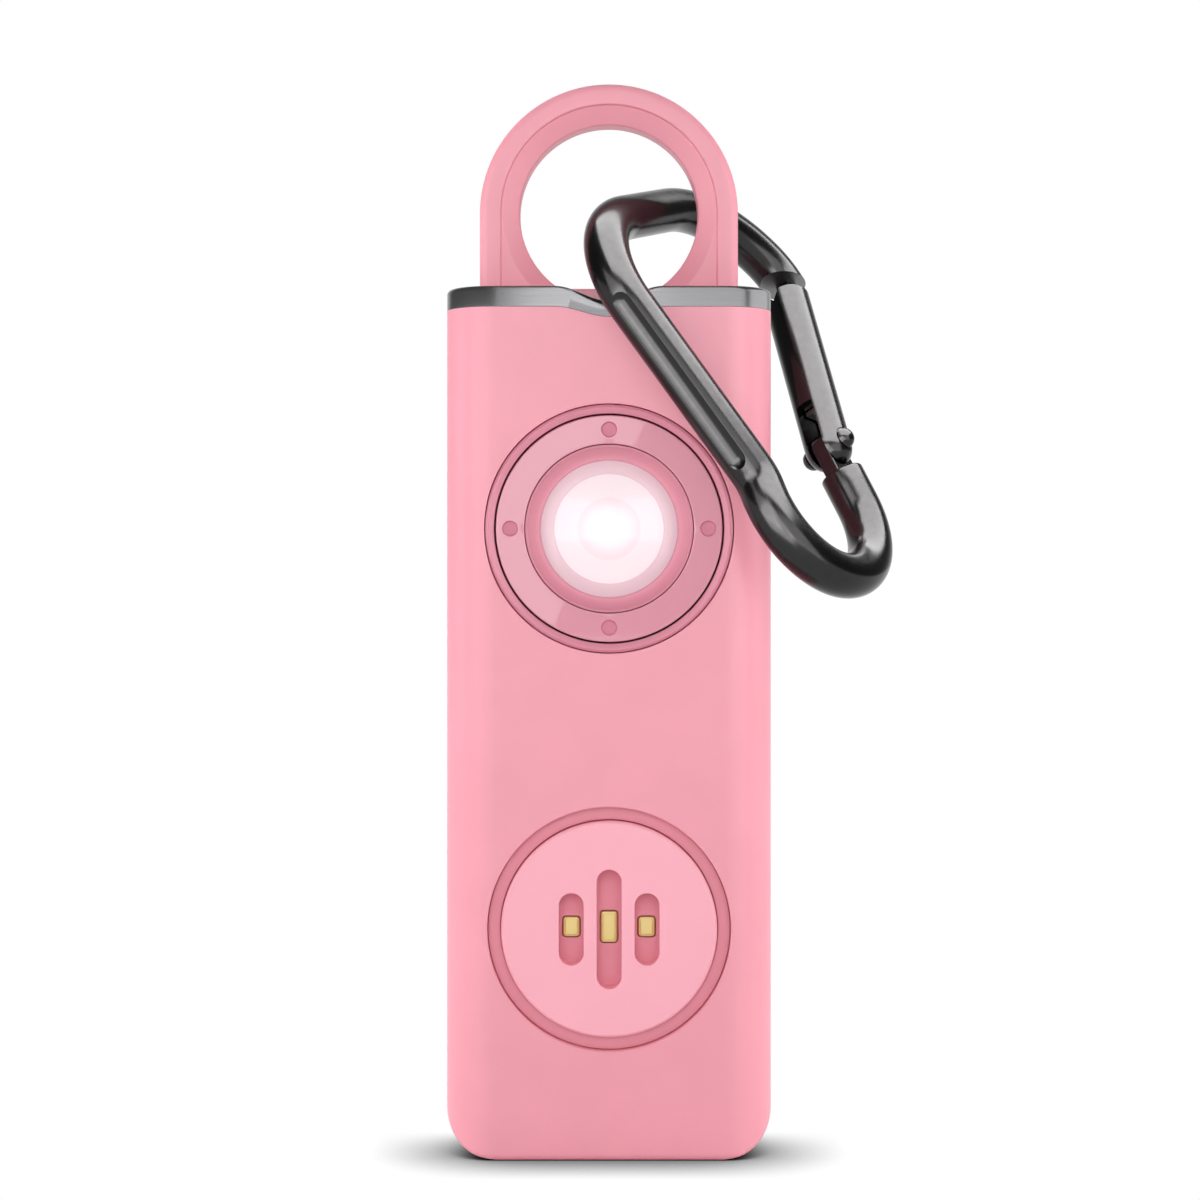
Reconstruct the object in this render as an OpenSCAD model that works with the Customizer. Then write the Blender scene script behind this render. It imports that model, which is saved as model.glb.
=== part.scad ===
// Personal safety alarm: a pocket case with a strobe light and a sounder in
// its front, a pull loop whose pin arms the switch, and a carabiner on the loop.
// X runs across the case, -Y is its front, Z is up. The base stands on Z = 0.

/* [Case] */
// Width of the case
case_w = 30; // [29:0.25:31]
// Depth of the case, front to back
case_d = 14; // [13.5:0.25:15]
// Height from the base to the top of the silver band
case_h = 79.7; // [79:0.5:86]
// Radius of the upright edges
corner_r = 4.5; // [3.75:0.25:4.75]
// Radius of the lower corners, seen from the front
base_r = 4.5; // [3:0.25:5]
// Radius of the front and rear edges of the base
foot_r = 0.6; // [0.3:0.05:1.2]
// Wall thickness of both covers
wall = 1.5; // [1.3:0.1:1.6]
// Distance of the seam between the covers behind the middle
seam_y = 1.5; // [1:0.25:2.5]
// Width of the lip that locates the rear cover in the front cover
lip_t = 0.6; // [0.4:0.1:0.8]

/* [Top band] */
// Height of the silver band
band_h = 1.95; // [1.7:0.05:2.4]
// Radius of the band's upper outer edge
band_edge = 0.45; // [0.2:0.05:0.6]
// Thickness of the skirt that holds the band inside the covers
skirt_t = 0.8; // [0.6:0.1:0.9]
// Length of the skirt below the band
skirt_h = 1.9; // [1.4:0.1:2.1]
// Width of the dip in the middle of the band
dip_w = 10; // [7:0.5:14]
// Depth of the dip in the upper edge
dip_top = 1.36; // [0.6:0.02:1.4]
// Depth of the dip in the lower edge
dip_low = 0.92; // [0.4:0.02:1]

/* [Pull loop] */
// Outer width of the loop
loop_w = 24; // [23.5:0.25:24.5]
// Height of the loop above the band
loop_rise = 19.3; // [18.8:0.1:21]
// Thickness of the loop at its outer frame
loop_t = 5; // [4:0.25:5.25]
// Width of the loop's outer frame
frame_w = 2; // [1.5:0.1:2.4]
// Radius of the hole in the loop
hole_r = 8.3; // [7.9:0.1:8.6]
// Thickness of the loop at the rim of the hole
hole_t = 2.4; // [1.8:0.1:3]
// Thickness of the plug that sits inside the band
plug_h = 1.8; // [1.5:0.1:1.85]
// Clearance round the plug and the other loose fits
fit = 0.15; // [0.08:0.01:0.2]

/* [Release pin] */
// Diameter of the pin
pin_d = 3; // [2.4:0.1:3.4]
// Length of the pin below the plug
pin_len = 11.9; // [11:0.1:12.2]
// Running clearance of the pin and the plunger in their bores
run = 0.05; // [0.03:0.01:0.08]
// Thickness of the guide plate
guide_h = 2.6; // [2:0.1:2.8]
// Length of the guide tube below the plate
guide_tube = 6.5; // [5:0.25:7]

/* [Strobe light] */
// Distance of the light's centre below the top of the band
strobe_drop = 22.15; // [21.5:0.05:23]
// Diameter of the bezel, up to the line between it and the rim
bezel_d = 20.65; // [19.8:0.05:21.2]
// Width of the rim round the bezel
rim_w = 0.975; // [0.7:0.025:1.1]
// Bore of the bezel
bezel_bore = 15.45; // [15:0.05:16]
// Diameter of the lens
lens_d = 12.6; // [12:0.1:13.2]
// Diameter of the raised middle of the lens
core_d = 10; // [9:0.1:11]
// Diameter of the dimples in the bezel
dimple_d = 1.42; // [1:0.02:1.8]
// Number of dimples
dimples = 4; // [3:1:8]
// Depth of the rim and the bezel in the cover
bezel_t = 1.6; // [1.4:0.1:1.8]

/* [Sounder] */
// Height of the sounder's centre above the base
sounder_z = 21.07; // [20.5:0.25:21.5]
// Diameter of the groove round the slotted disc
groove_d = 22.1; // [21.6:0.1:22.6]
// Depth of that groove
groove_depth = 1; // [0.6:0.1:1.3]
// Diameter of the slotted disc
disc_d = 19.7; // [19:0.1:20.2]
// Depth of the slots in the disc
slot_depth = 2.2; // [1.8:0.1:2.3]
// Width of a slot
slot_w = 2.25; // [1.9:0.05:2.6]
// Distance between the slots
slot_pitch = 3.45; // [3.2:0.05:4]
// Length of the outer slots
slot_len = 6.56; // [5:0.1:8]
// Length of the middle slot
slot_mid = 10.85; // [9:0.1:13]
// Width of the gold pads
pad_w = 1.62; // [1.2:0.02:1.8]
// Height of the outer pads
pad_h = 1.9; // [1.4:0.1:2.6]
// Height of the middle pad
pad_mid = 2.94; // [2.2:0.1:4]

/* [Inside] */
// Thickness of the circuit board
board_t = 1; // [0.8:0.1:1]
// Diameter of a coin cell
cell_d = 20; // [19:0.5:20]
// Thickness of a coin cell
cell_t = 3.2; // [2.5:0.1:3.4]
// Height of the lower cell's centre
cell_z = 15; // [14.8:0.1:16]
// Gap between the upper cell's clip and the switch
cell_gap = 3.5; // [3:0.25:5]
// Diameter of the case screws
screw_d = 2; // [1.6:0.1:2.2]
// Diameter of the screw heads
head_d = 3.6; // [3:0.1:3.8]
// Diameter of the switch plunger
plunger_d = 2; // [1.6:0.1:2.4]

/* [Carabiner] */
// Diameter of the bar
bar_d = 4.16; // [3.8:0.02:4.3]
// Diameter of the gate
gate_d = 4.5; // [4.2:0.1:4.7]
// Length of the straight spine
spine_len = 19; // [18:0.25:19.5]
// Radius of the bend at the top of the spine
top_r = 7; // [6.5:0.1:7.4]
// Length of the straight top
top_len = 8.4; // [8:0.1:9.2]
// Radius of the bend into the nose
nose_r = 13.5; // [12.5:0.1:14]
// Radius of the bottom bend
toe_r = 7.5; // [7:0.1:8]
// Length from the bottom bend to the rivet
tang_len = 6; // [5.8:0.05:6.6]
// Length of the gate from the rivet to its tip
gate_len = 20.2; // [19.6:0.1:20.4]
// Thickness of the tang and of the nose tongue
tang_t = 1.6; // [1.4:0.1:1.8]
// Diameter of the rivet
rivet_d = 1.4; // [1.2:0.1:1.6]
// Diameter of the rivet heads
rivet_head = 2; // [1.8:0.1:2.2]
// Depth of the flute along the spine
flute_depth = 0.45; // [0.2:0.05:0.6]
// Lean of the spine from the upright
clip_lean = 36; // [34:0.2:37]
// Turn of the carabiner's plane away from the front
clip_turn = 57.2; // [56:0.2:60]
// Gap between the spine and the front of the case
clip_gap = 0.6; // [0.4:0.1:0.9]

/* [Hidden] */
$fn = 64;

pink = [0.94, 0.61, 0.68];
deep_pink = [0.82, 0.48, 0.56];
black_metal = [0.12, 0.12, 0.13];
gold = [0.86, 0.74, 0.42];
steel = [0.75, 0.76, 0.78];
board_green = [0.1, 0.35, 0.24];
chip_black = [0.13, 0.13, 0.14];

over = 1;
front_y = -case_d / 2;
band_z = case_h - band_h;
band_in = wall + 0.05 + skirt_t;
half_gap = 0.05;
root = 0.2;

// Loop
hole_z = case_h + loop_rise - loop_w / 2;
plug_z = case_h - plug_h;
plug_in = band_in + fit;
seat_gap = 0.1;
guide_z = plug_z - seat_gap - guide_h;
pin_tip_z = plug_z - pin_len;
pin_seat = 1.3;

// Strobe light, front to back
strobe_z = case_h - strobe_drop;
rim_d = bezel_d + 2 * rim_w;
lens_sink = 1.3;
lens_t = 1.6;
barrel_d = bezel_bore - 0.1;
strobe_boss_d = rim_d + 3;
strobe_floor = 1;
dimple_ring = (bezel_d + bezel_bore) / 4;

// Sounder, front to back
floor_t = 1.2;
disc_fit = 0.05;
housing_back = front_y + slot_depth + floor_t;
plate_t = 0.3;
plate_d = disc_d - 1.3;
ceramic_t = 0.25;
sounder_lip = 1;
sounder_boss_d = groove_d + 3.4;

// Circuit board and what stands on it
board_gap = 0.4;
board_y = housing_back + sounder_lip + board_gap;
board_back = board_y + board_t;
board_w = case_w - 2 * wall - 3.2;
clip_t = 0.3;
clip_leg = cell_d / 2 + 0.3;
clip_w = 6;
board_z0 = cell_z - clip_leg - clip_t - 0.1;
board_z1 = pin_tip_z - 0.8;
led_h = 1.7;
led_w = 5;
led_d = 4.2;
chip_w = 5;
chip_t = 1;
chip_x = 9.6;
coil_d = 6;
coil_core = 4.4;
coil_flange = 0.6;
coil_h = 2.8;
coil_x = 7.4;
driver_w = 4.5;
driver_t = 1.5;
driver_h = 2.5;
driver_x = 5.2;
driver_up = 4;
cell_lift = 1.2;
cell_y = board_back + cell_lift;
contact_d = 9;
contact_tip = 5;
prong_d = 1.4;

// Pin and plunger stand just behind the board
pin_y = board_back + plunger_d / 2 + 0.2;

// Screws and bosses
boss_x = case_w / 2 - wall - 2.9;
boss_r = screw_d / 2 + 0.9;
boss_base_r = boss_r + 0.8;
head_h = 1.4;
head_sink = 0.3;
screw_end_y = board_y - 0.5;

// Switch, whose plunger stands under the pin
switch_w = 6;
switch_h = 5;
plunger_gap = 0.15;
plunger_len = 5.6;
plunger_out = 2.2;
switch_d = 4;
switch_top = pin_tip_z - plunger_gap - plunger_out;
upper_z = switch_top - switch_h - cell_gap - clip_t - clip_leg;
screw_drop = 13.5;
screw_z = [upper_z - screw_drop, guide_z - boss_base_r - seat_gap];

// Carabiner
bar_r = bar_d / 2;
gate_r = gate_d / 2;
kink_r = 4.3;
kink_turn = 26.6;
kink_len = 0.9;
toe_turn = 188.3;
top_turn = 97.3;
nose_turn = 84.5;
gate_heading = 50.7;
nose_gap = 0.3;
slot_gap = 0.15;
tip_slot = 3.4;
tongue_len = 3;
tongue_w = 2.6;
shoulder = 2.6;
fork_slot = 2.5;
pocket_end = 4.6;
spring_t = 0.4;
flute_r = 1.6;
flute_turn = 18;
facet_len = 2.8;
lap = 0.02;
clip_inset = 13.45;
clip_drop = 8.8;
clip_place = [case_w / 2 - clip_inset, front_y - bar_r - clip_gap, hole_z - clip_drop];

// A run is a list of [straight length, bend radius, turn] steps in the plane.
top_run = [[0, top_r, -top_turn], [top_len, nose_r, -nose_turn]];
toe_run = [[0, kink_r, -kink_turn], [kink_len, toe_r, toe_turn]];

function unit(a) = [cos(a), sin(a)];
function bend_end(p, a, r, turn) =
    let (s = sign(turn), c = p + r * unit(a + 90 * s)) c + r * unit(a - 90 * s + turn);
function run_end(run, p, a, i = 0) =
    i == len(run) ? [p, a] :
    run_end(run, bend_end(p + run[i][0] * unit(a), a, run[i][1], run[i][2]),
            a + run[i][2], i + 1);
function dip(x, depth) = abs(x) < dip_w / 2 ? depth * (1 + cos(360 * x / dip_w)) / 2 : 0;

toe_end = run_end(toe_run, [0, -spine_len], -90);
rivet_at = toe_end[0] + tang_len * unit(toe_end[1]);

// Outline with round corners, drawn face to face from slabs and quarter discs
module outline(inset) {
    w = case_w - 2 * inset;
    d = case_d - 2 * inset;
    r = corner_r - inset;
    square([w - 2 * r, d], center = true);
    square([w, d - 2 * r], center = true);
    for (sx = [-1, 1], sy = [-1, 1])
        translate([sx * (w / 2 - r), sy * (d / 2 - r)]) circle(r);
}

module prism(inset, z0, z1) {
    translate([0, 0, z0]) linear_extrude(z1 - z0) outline(inset);
}

// Upright edge section whose lower outer corner is round
module edge_section(r, h, er) {
    difference() {
        square([r, h]);
        translate([r - er, 0]) difference() {
            square(er);
            translate([0, er]) circle(er);
        }
    }
}

// Block with round upright edges and round edges at its base
module soft_block(inset, h, er) {
    w = case_w - 2 * inset;
    d = case_d - 2 * inset;
    r = corner_r - inset;
    cx = w / 2 - r;
    cy = d / 2 - r;
    for (q = [0:3])
        translate([(q == 0 || q == 3 ? 1 : -1) * cx, (q < 2 ? 1 : -1) * cy, 0])
            rotate([0, 0, 90 * q]) rotate_extrude(angle = 90) edge_section(r, h, er);
    for (s = [0, 180]) rotate([0, 0, s]) {
        translate([-cx, cy, 0]) rotate([90, 0, 90]) linear_extrude(2 * cx) edge_section(r, h, er);
        translate([cx, cy, 0]) rotate([90, 0, 0]) linear_extrude(2 * cy) edge_section(r, h, er);
    }
    translate([-cx, -cy, 0]) cube([2 * cx, 2 * cy, h]);
}

// Block of the case: its lower corners are round as seen from the front
module case_block(inset, h) {
    w = case_w - 2 * inset;
    r = base_r - inset;
    intersection() {
        if (foot_r > inset) soft_block(inset, h, foot_r - inset);
        else prism(inset, 0, h);
        rotate([90, 0, 0]) linear_extrude(2 * case_d, center = true) {
            translate([-w / 2, r]) square([w, h - r]);
            translate([r - w / 2, 0]) square([w - 2 * r, h]);
            for (s = [-1, 1]) translate([s * (w / 2 - r), r]) circle(r);
        }
    }
}

// Everything above a level edge that dips at the middle, through the depth
module above_edge(z, depth, top) {
    steps = 20;
    curve = [for (i = [0:steps]) let (x = dip_w * (i / steps - 0.5)) [x, z - dip(x, depth)]];
    rotate([90, 0, 0]) linear_extrude(2 * case_d, center = true)
        polygon(concat([[-case_w, top], [-case_w, z]], curve, [[case_w, z], [case_w, top]]));
}

module case_shell() {
    difference() {
        case_block(0, case_h);
        translate([0, 0, wall]) case_block(wall, case_h);
        above_edge(band_z, dip_low, case_h + over);
    }
}

module half(y0, y1) {
    translate([-case_w, y0, -over]) cube([2 * case_w, y1 - y0, case_h + 2 * over]);
}

// Rods along Y, from y0 back to y1
module rod(d, y0, y1, x = 0, z = 0) {
    translate([x, y0, z]) rotate([-90, 0, 0]) cylinder(d = d, h = y1 - y0);
}

// Turned pieces: a section in [radius, depth behind the front face]
module turned(z) {
    translate([0, front_y, z]) rotate([-90, 0, 0]) rotate_extrude() children();
}

module at_screws() {
    for (s = [-1, 1], z = screw_z) translate([s * boss_x, 0, z]) children();
}

module front_cover() {
    color(pink) difference() {
        union() {
            intersection() {
                case_shell();
                half(-case_d, seam_y);
            }
            intersection() {
                translate([0, 0, root]) case_block(root, case_h);
                union() {
                    rod(strobe_boss_d, front_y + wall - root, front_y + bezel_t + strobe_floor,
                        z = strobe_z);
                    rod(sounder_boss_d, front_y + wall - root, housing_back + sounder_lip,
                        z = sounder_z);
                }
            }
            at_screws() {
                rod(2 * boss_base_r, front_y + wall - root, board_y);
                rod(2 * boss_r, board_y - over, seam_y);
            }
        }
        rod(rim_d + 0.1, front_y - over, front_y + bezel_t, z = strobe_z);
        rod(bezel_bore, front_y, board_y, z = strobe_z);
        rod(groove_d + 0.1, front_y - over, housing_back, z = sounder_z);
        rod(plate_d + 0.2, front_y, board_y, z = sounder_z);
        at_screws() rod(screw_d + 0.05, screw_end_y, seam_y + over);
    }
}

module rear_cover() {
    lip_z = screw_z[1] - boss_base_r - over;
    color(pink) difference() {
        union() {
            intersection() {
                case_shell();
                half(seam_y, case_d);
            }
            difference() {
                union() {
                    intersection() {
                        translate([0, 0, wall + half_gap]) case_block(wall + half_gap, lip_z);
                        half(seam_y - over, seam_y + root);
                    }
                    intersection() {
                        translate([0, 0, wall - root]) case_block(wall - root, lip_z);
                        half(seam_y, seam_y + over);
                    }
                }
                translate([0, 0, wall + half_gap + lip_t])
                    case_block(wall + half_gap + lip_t, case_h);
            }
            at_screws() rod(2 * boss_base_r, seam_y, case_d / 2 - wall + root);
        }
        at_screws() {
            rod(screw_d + 0.2, seam_y - over, case_d / 2);
            rod(head_d + 0.3, case_d / 2 - head_h - head_sink, case_d / 2 + over);
        }
    }
}

module top_band() {
    color(steel) difference() {
        union() {
            difference() {
                translate([0, 0, case_h]) mirror([0, 0, 1])
                    soft_block(0, band_h + dip_low + over, band_edge);
                above_edge(case_h, dip_top, case_h + over);
                difference() {
                    prism(-over, band_z - 2 * over - dip_low, case_h);
                    above_edge(band_z, dip_low, case_h + over);
                }
            }
            prism(wall + half_gap, band_z - skirt_h, band_z + over / 5);
        }
        prism(band_in, band_z - skirt_h - over, case_h + over);
    }
}

module case_screws() {
    head_y = case_d / 2 - head_h - head_sink;
    color(steel) at_screws() difference() {
        union() {
            rod(screw_d, screw_end_y, head_y + over / 5);
            rod(head_d, head_y, head_y + head_h);
        }
        for (a = [0, 90]) translate([0, head_y + head_h, 0]) rotate([0, a, 0])
            cube([0.45, 1, 2], center = true);
    }
}

module pin_guide() {
    color([0.85, 0.83, 0.8]) difference() {
        union() {
            prism(band_in + 0.1, guide_z, guide_z + guide_h);
            translate([0, pin_y, guide_z - guide_tube]) cylinder(d = pin_d + 3, h = guide_tube + over);
        }
        translate([0, pin_y, guide_z - guide_tube - over])
            cylinder(d = pin_d + 2 * run, h = guide_h + guide_tube + 2 * over);
    }
}

module strobe_rim() {
    r0 = bezel_d / 2 + 0.12;
    r1 = rim_d / 2;
    c = 0.3;
    color(pink) turned(strobe_z)
        polygon([[r0, 0.15], [r1 - c, -0.1], [r1, c - 0.1], [r1, bezel_t], [r0, bezel_t]]);
}

module strobe_bezel() {
    r0 = bezel_bore / 2;
    r1 = bezel_d / 2;
    c = 0.15;
    color(deep_pink) difference() {
        turned(strobe_z) polygon([[r0, c + 0.15], [r0 + c, 0.15], [r1 - c, 0.05], [r1, c + 0.05],
                                  [r1, bezel_t], [r0, bezel_t]]);
        for (i = [0:dimples - 1]) translate([0, 0, strobe_z]) rotate([0, 360 * i / dimples, 0])
            rod(dimple_d, front_y - over, front_y + 0.5, z = dimple_ring);
    }
}

module strobe_reflector() {
    r1 = barrel_d / 2;
    r0 = lens_d / 2 + half_gap;
    back = board_y - front_y - 0.3;
    color(deep_pink) turned(strobe_z)
        polygon([[r1 - 0.2, 0.25], [r1, 0.25], [r1, back], [r0 - 0.6, back],
                 [r0 - 0.6, lens_sink + lens_t], [r0, lens_sink + lens_t], [r0, lens_sink]]);
}

module strobe_lens() {
    dome_r = 14;
    rise = dome_r - sqrt(dome_r * dome_r - core_d * core_d / 4);
    step = 0.2;
    color([0.98, 0.93, 0.94]) turned(strobe_z) {
        translate([0, lens_sink]) square([lens_d / 2, lens_t]);
        translate([0, lens_sink - step]) square([core_d / 2, step]);
        intersection() {
            translate([0, lens_sink - step - rise + dome_r]) circle(dome_r);
            translate([0, lens_sink - step - rise]) square([core_d / 2, rise]);
        }
    }
}

module strobe_led() {
    color([0.98, 0.94, 0.75]) {
        base = led_h / 2;
        cap = led_h / 3;
        translate([-led_w / 2, board_y - base, strobe_z - led_w / 2]) cube([led_w, base, led_w]);
        rod(led_d, board_y - led_h + cap, board_y - base, z = strobe_z);
        translate([0, board_y - led_h + cap, strobe_z]) rotate([90, 0, 0])
            cylinder(d1 = led_d, d2 = led_d - 2 * cap, h = cap);
    }
}

module pads(grow, y0, y1) {
    for (i = [-1:1]) {
        w = pad_w + 2 * grow;
        h = (i == 0 ? pad_mid : pad_h) + 2 * grow;
        r = 0.35 + grow;
        translate([i * slot_pitch, y1, sounder_z]) rotate([90, 0, 0]) linear_extrude(y1 - y0) {
            square([w - 2 * r, h], center = true);
            square([w, h - 2 * r], center = true);
            for (sx = [-1, 1], sy = [-1, 1])
                translate([sx * (w / 2 - r), sy * (h / 2 - r)]) circle(r);
        }
    }
}

module sounder_housing() {
    r1 = groove_d / 2;
    r0 = disc_d / 2 + disc_fit;
    color(deep_pink) difference() {
        turned(sounder_z)
            polygon([[0, slot_depth], [r0, slot_depth], [r0, groove_depth], [r1, groove_depth],
                     [r1, slot_depth + floor_t], [0, slot_depth + floor_t]]);
        pads(0.05, front_y, housing_back + over);
    }
}

module sounder_cover() {
    r1 = disc_d / 2;
    c = 0.25;
    color(pink) difference() {
        turned(sounder_z)
            polygon([[0, 0], [r1 - c, 0], [r1, c], [r1, slot_depth], [0, slot_depth]]);
        for (i = [-1:1]) {
            straight = (i == 0 ? slot_mid : slot_len) - slot_w;
            translate([i * slot_pitch, front_y - over, sounder_z]) {
                for (s = [-1, 1]) rod(slot_w, 0, slot_depth + 2 * over, z = s * straight / 2);
                translate([-slot_w / 2, 0, -straight / 2])
                    cube([slot_w, slot_depth + 2 * over, straight]);
            }
        }
    }
}

module sounder_plate() {
    color(gold) {
        rod(plate_d, housing_back, housing_back + plate_t, z = sounder_z);
        pads(0, housing_back - floor_t - 0.1, housing_back);
    }
}

module piezo_ceramic() {
    y = housing_back + plate_t;
    color([0.9, 0.9, 0.86]) rod(plate_d * 0.7, y, y + ceramic_t, z = sounder_z);
}

module sounder_contacts() {
    y = housing_back + plate_t;
    color(gold) {
        rod(prong_d, y + ceramic_t, board_y, z = sounder_z);
        rod(prong_d, y, board_y, x = plate_d * 0.43, z = sounder_z);
    }
}

module circuit_board() {
    color(board_green) difference() {
        translate([-board_w / 2, board_y, board_z0]) cube([board_w, board_t, board_z1 - board_z0]);
        at_screws() rod(2 * boss_r + 0.3, board_y - over, board_back + over);
    }
}

module controller_chip() {
    color(chip_black) translate([-chip_x, board_back, strobe_z - chip_w / 2])
        cube([chip_w, chip_t, chip_w]);
}

module boost_coil() {
    color([0.35, 0.33, 0.32]) {
        top = board_back + coil_h;
        rod(coil_d, board_back, board_back + coil_flange, x = coil_x, z = strobe_z);
        rod(coil_core, board_back + coil_flange, top - coil_flange, x = coil_x, z = strobe_z);
        rod(coil_d, top - coil_flange, top, x = coil_x, z = strobe_z);
    }
}

module driver_transistor() {
    color(chip_black) translate([driver_x, board_back, strobe_z + driver_up])
        cube([driver_w, driver_t, driver_h]);
}

module switch_body() {
    color(chip_black) difference() {
        translate([-switch_w / 2, board_back, switch_top - switch_h])
            cube([switch_w, switch_d, switch_h]);
        translate([0, pin_y, switch_top - plunger_len + plunger_out - over])
            cylinder(d = plunger_d + 2 * run, h = plunger_len + over);
    }
}

module switch_plunger() {
    color([0.9, 0.9, 0.88]) translate([0, pin_y, switch_top + plunger_out - plunger_len]) {
        cylinder(d = plunger_d, h = plunger_len - 0.3);
        translate([0, 0, plunger_len - 0.3]) cylinder(d1 = plunger_d, d2 = plunger_d - 0.6, h = 0.3);
    }
}

module coin_cell(z) {
    c = 0.3;
    r = cell_d / 2;
    color(steel) translate([0, cell_y, z]) rotate([-90, 0, 0]) rotate_extrude()
        polygon([[0, 0], [r - 1.4, 0], [r - 1.4, 0.5], [r - c, 0.5], [r, 0.5 + c],
                 [r, cell_t - c], [r - c, cell_t], [0, cell_t]]);
}

module upper_cell() coin_cell(upper_z);

module lower_cell() coin_cell(cell_z);

module at_cells() {
    for (z = [cell_z, upper_z]) translate([0, 0, z]) children();
}

module cell_contacts() {
    color(gold) at_cells() translate([0, board_back, 0]) rotate([-90, 0, 0])
        cylinder(d1 = contact_d, d2 = contact_tip, h = cell_y - board_back);
}

module cell_clips() {
    back = cell_y + cell_t;
    color(steel) at_cells() {
        translate([-clip_w / 2, back, -clip_leg - clip_t])
            cube([clip_w, clip_t, 2 * (clip_leg + clip_t)]);
        for (z = [-clip_leg - clip_t, clip_leg]) translate([-clip_w / 2, board_back, z])
            cube([clip_w, back - board_back, clip_t]);
    }
}

// Section of the loop's outer frame: [distance from the middle, thickness]
module frame_section() {
    r = 0.6;
    x0 = loop_w / 2 - frame_w;
    x1 = loop_w / 2;
    translate([x0, -loop_t / 2]) square([frame_w - r, loop_t]);
    translate([x1 - r, -loop_t / 2 + r]) square([r, loop_t - 2 * r]);
    for (s = [-1, 1]) translate([x1 - r, s * (loop_t / 2 - r)]) intersection() {
        circle(r);
        translate([0, s > 0 ? 0 : -r]) square(r);
    }
}

module pull_loop() {
    web_t = loop_t - 0.8;
    leg = hole_z - case_h;
    web_r = loop_w / 2 - frame_w;
    bevel = (web_t - hole_t) / 2;
    color(pink) difference() {
        union() {
            prism(plug_in, plug_z, case_h);
            for (s = [0, 180]) translate([0, 0, case_h]) rotate([0, 0, s])
                linear_extrude(leg) frame_section();
            translate([0, 0, hole_z]) rotate([90, 0, 0]) rotate_extrude(angle = 180) {
                frame_section();
                translate([hole_r / 2, -web_t / 2]) square([web_r - hole_r / 2, web_t]);
            }
            translate([-web_r, -web_t / 2, case_h]) cube([2 * web_r, web_t, leg]);
        }
        intersection() {
            union() {
                rod(2 * hole_r, -loop_t, loop_t, z = hole_z);
                for (s = [0, 180]) translate([0, 0, hole_z]) rotate([0, 0, s])
                    translate([0, hole_t / 2, 0]) rotate([-90, 0, 0])
                        cylinder(r1 = hole_r, r2 = web_r, h = bevel);
            }
            translate([-loop_w, -loop_t, case_h]) cube([2 * loop_w, 2 * loop_t, loop_w]);
        }
        translate([0, pin_y, plug_z - over]) cylinder(d = pin_d + 0.04, h = over + pin_seat);
    }
}

module release_pin() {
    tip = 1;
    color(steel) {
        translate([0, pin_y, pin_tip_z + tip])
            cylinder(d = pin_d, h = plug_z + pin_seat - pin_tip_z - tip);
        translate([0, pin_y, pin_tip_z]) cylinder(d1 = pin_d - 1.4, d2 = pin_d, h = tip);
    }
}

// Hangs the carabiner, drawn flat in XY with its spine on Y, from the loop
module hang() {
    translate(clip_place) rotate([0, -clip_lean, 0]) rotate([0, 0, clip_turn])
        rotate([90, 0, 0]) children();
}

// Hair-thin disc that laps the meeting of two lengths of bar
module bar_lap() {
    rotate([0, 90, 0]) translate([0, 0, -lap]) cylinder(r = bar_r + lap, h = 2 * lap);
}

// Round bar that follows a run from the origin along +X
module bar_run(run, i = 0) {
    bar_lap();
    if (i < len(run)) {
        step = run[i];
        s = sign(step[2]);
        if (step[0] > 0) rotate([0, 90, 0]) cylinder(r = bar_r, h = step[0]);
        translate([step[0], 0, 0]) {
            if (step[0] > 0) bar_lap();
            translate([0, s * step[1], 0]) rotate([0, 0, s > 0 ? -90 : 90 + step[2]])
                rotate_extrude(angle = abs(step[2])) translate([step[1], 0]) circle(bar_r);
            translate([0, s * step[1], 0]) rotate([0, 0, step[2]])
                translate([0, -s * step[1], 0]) bar_run(run, i + 1);
        }
    }
}

// Places things on the gate's own axes: origin on the rivet, X to the tip
module on_gate() {
    translate(rivet_at) rotate([0, 0, gate_heading]) children();
}

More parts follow.
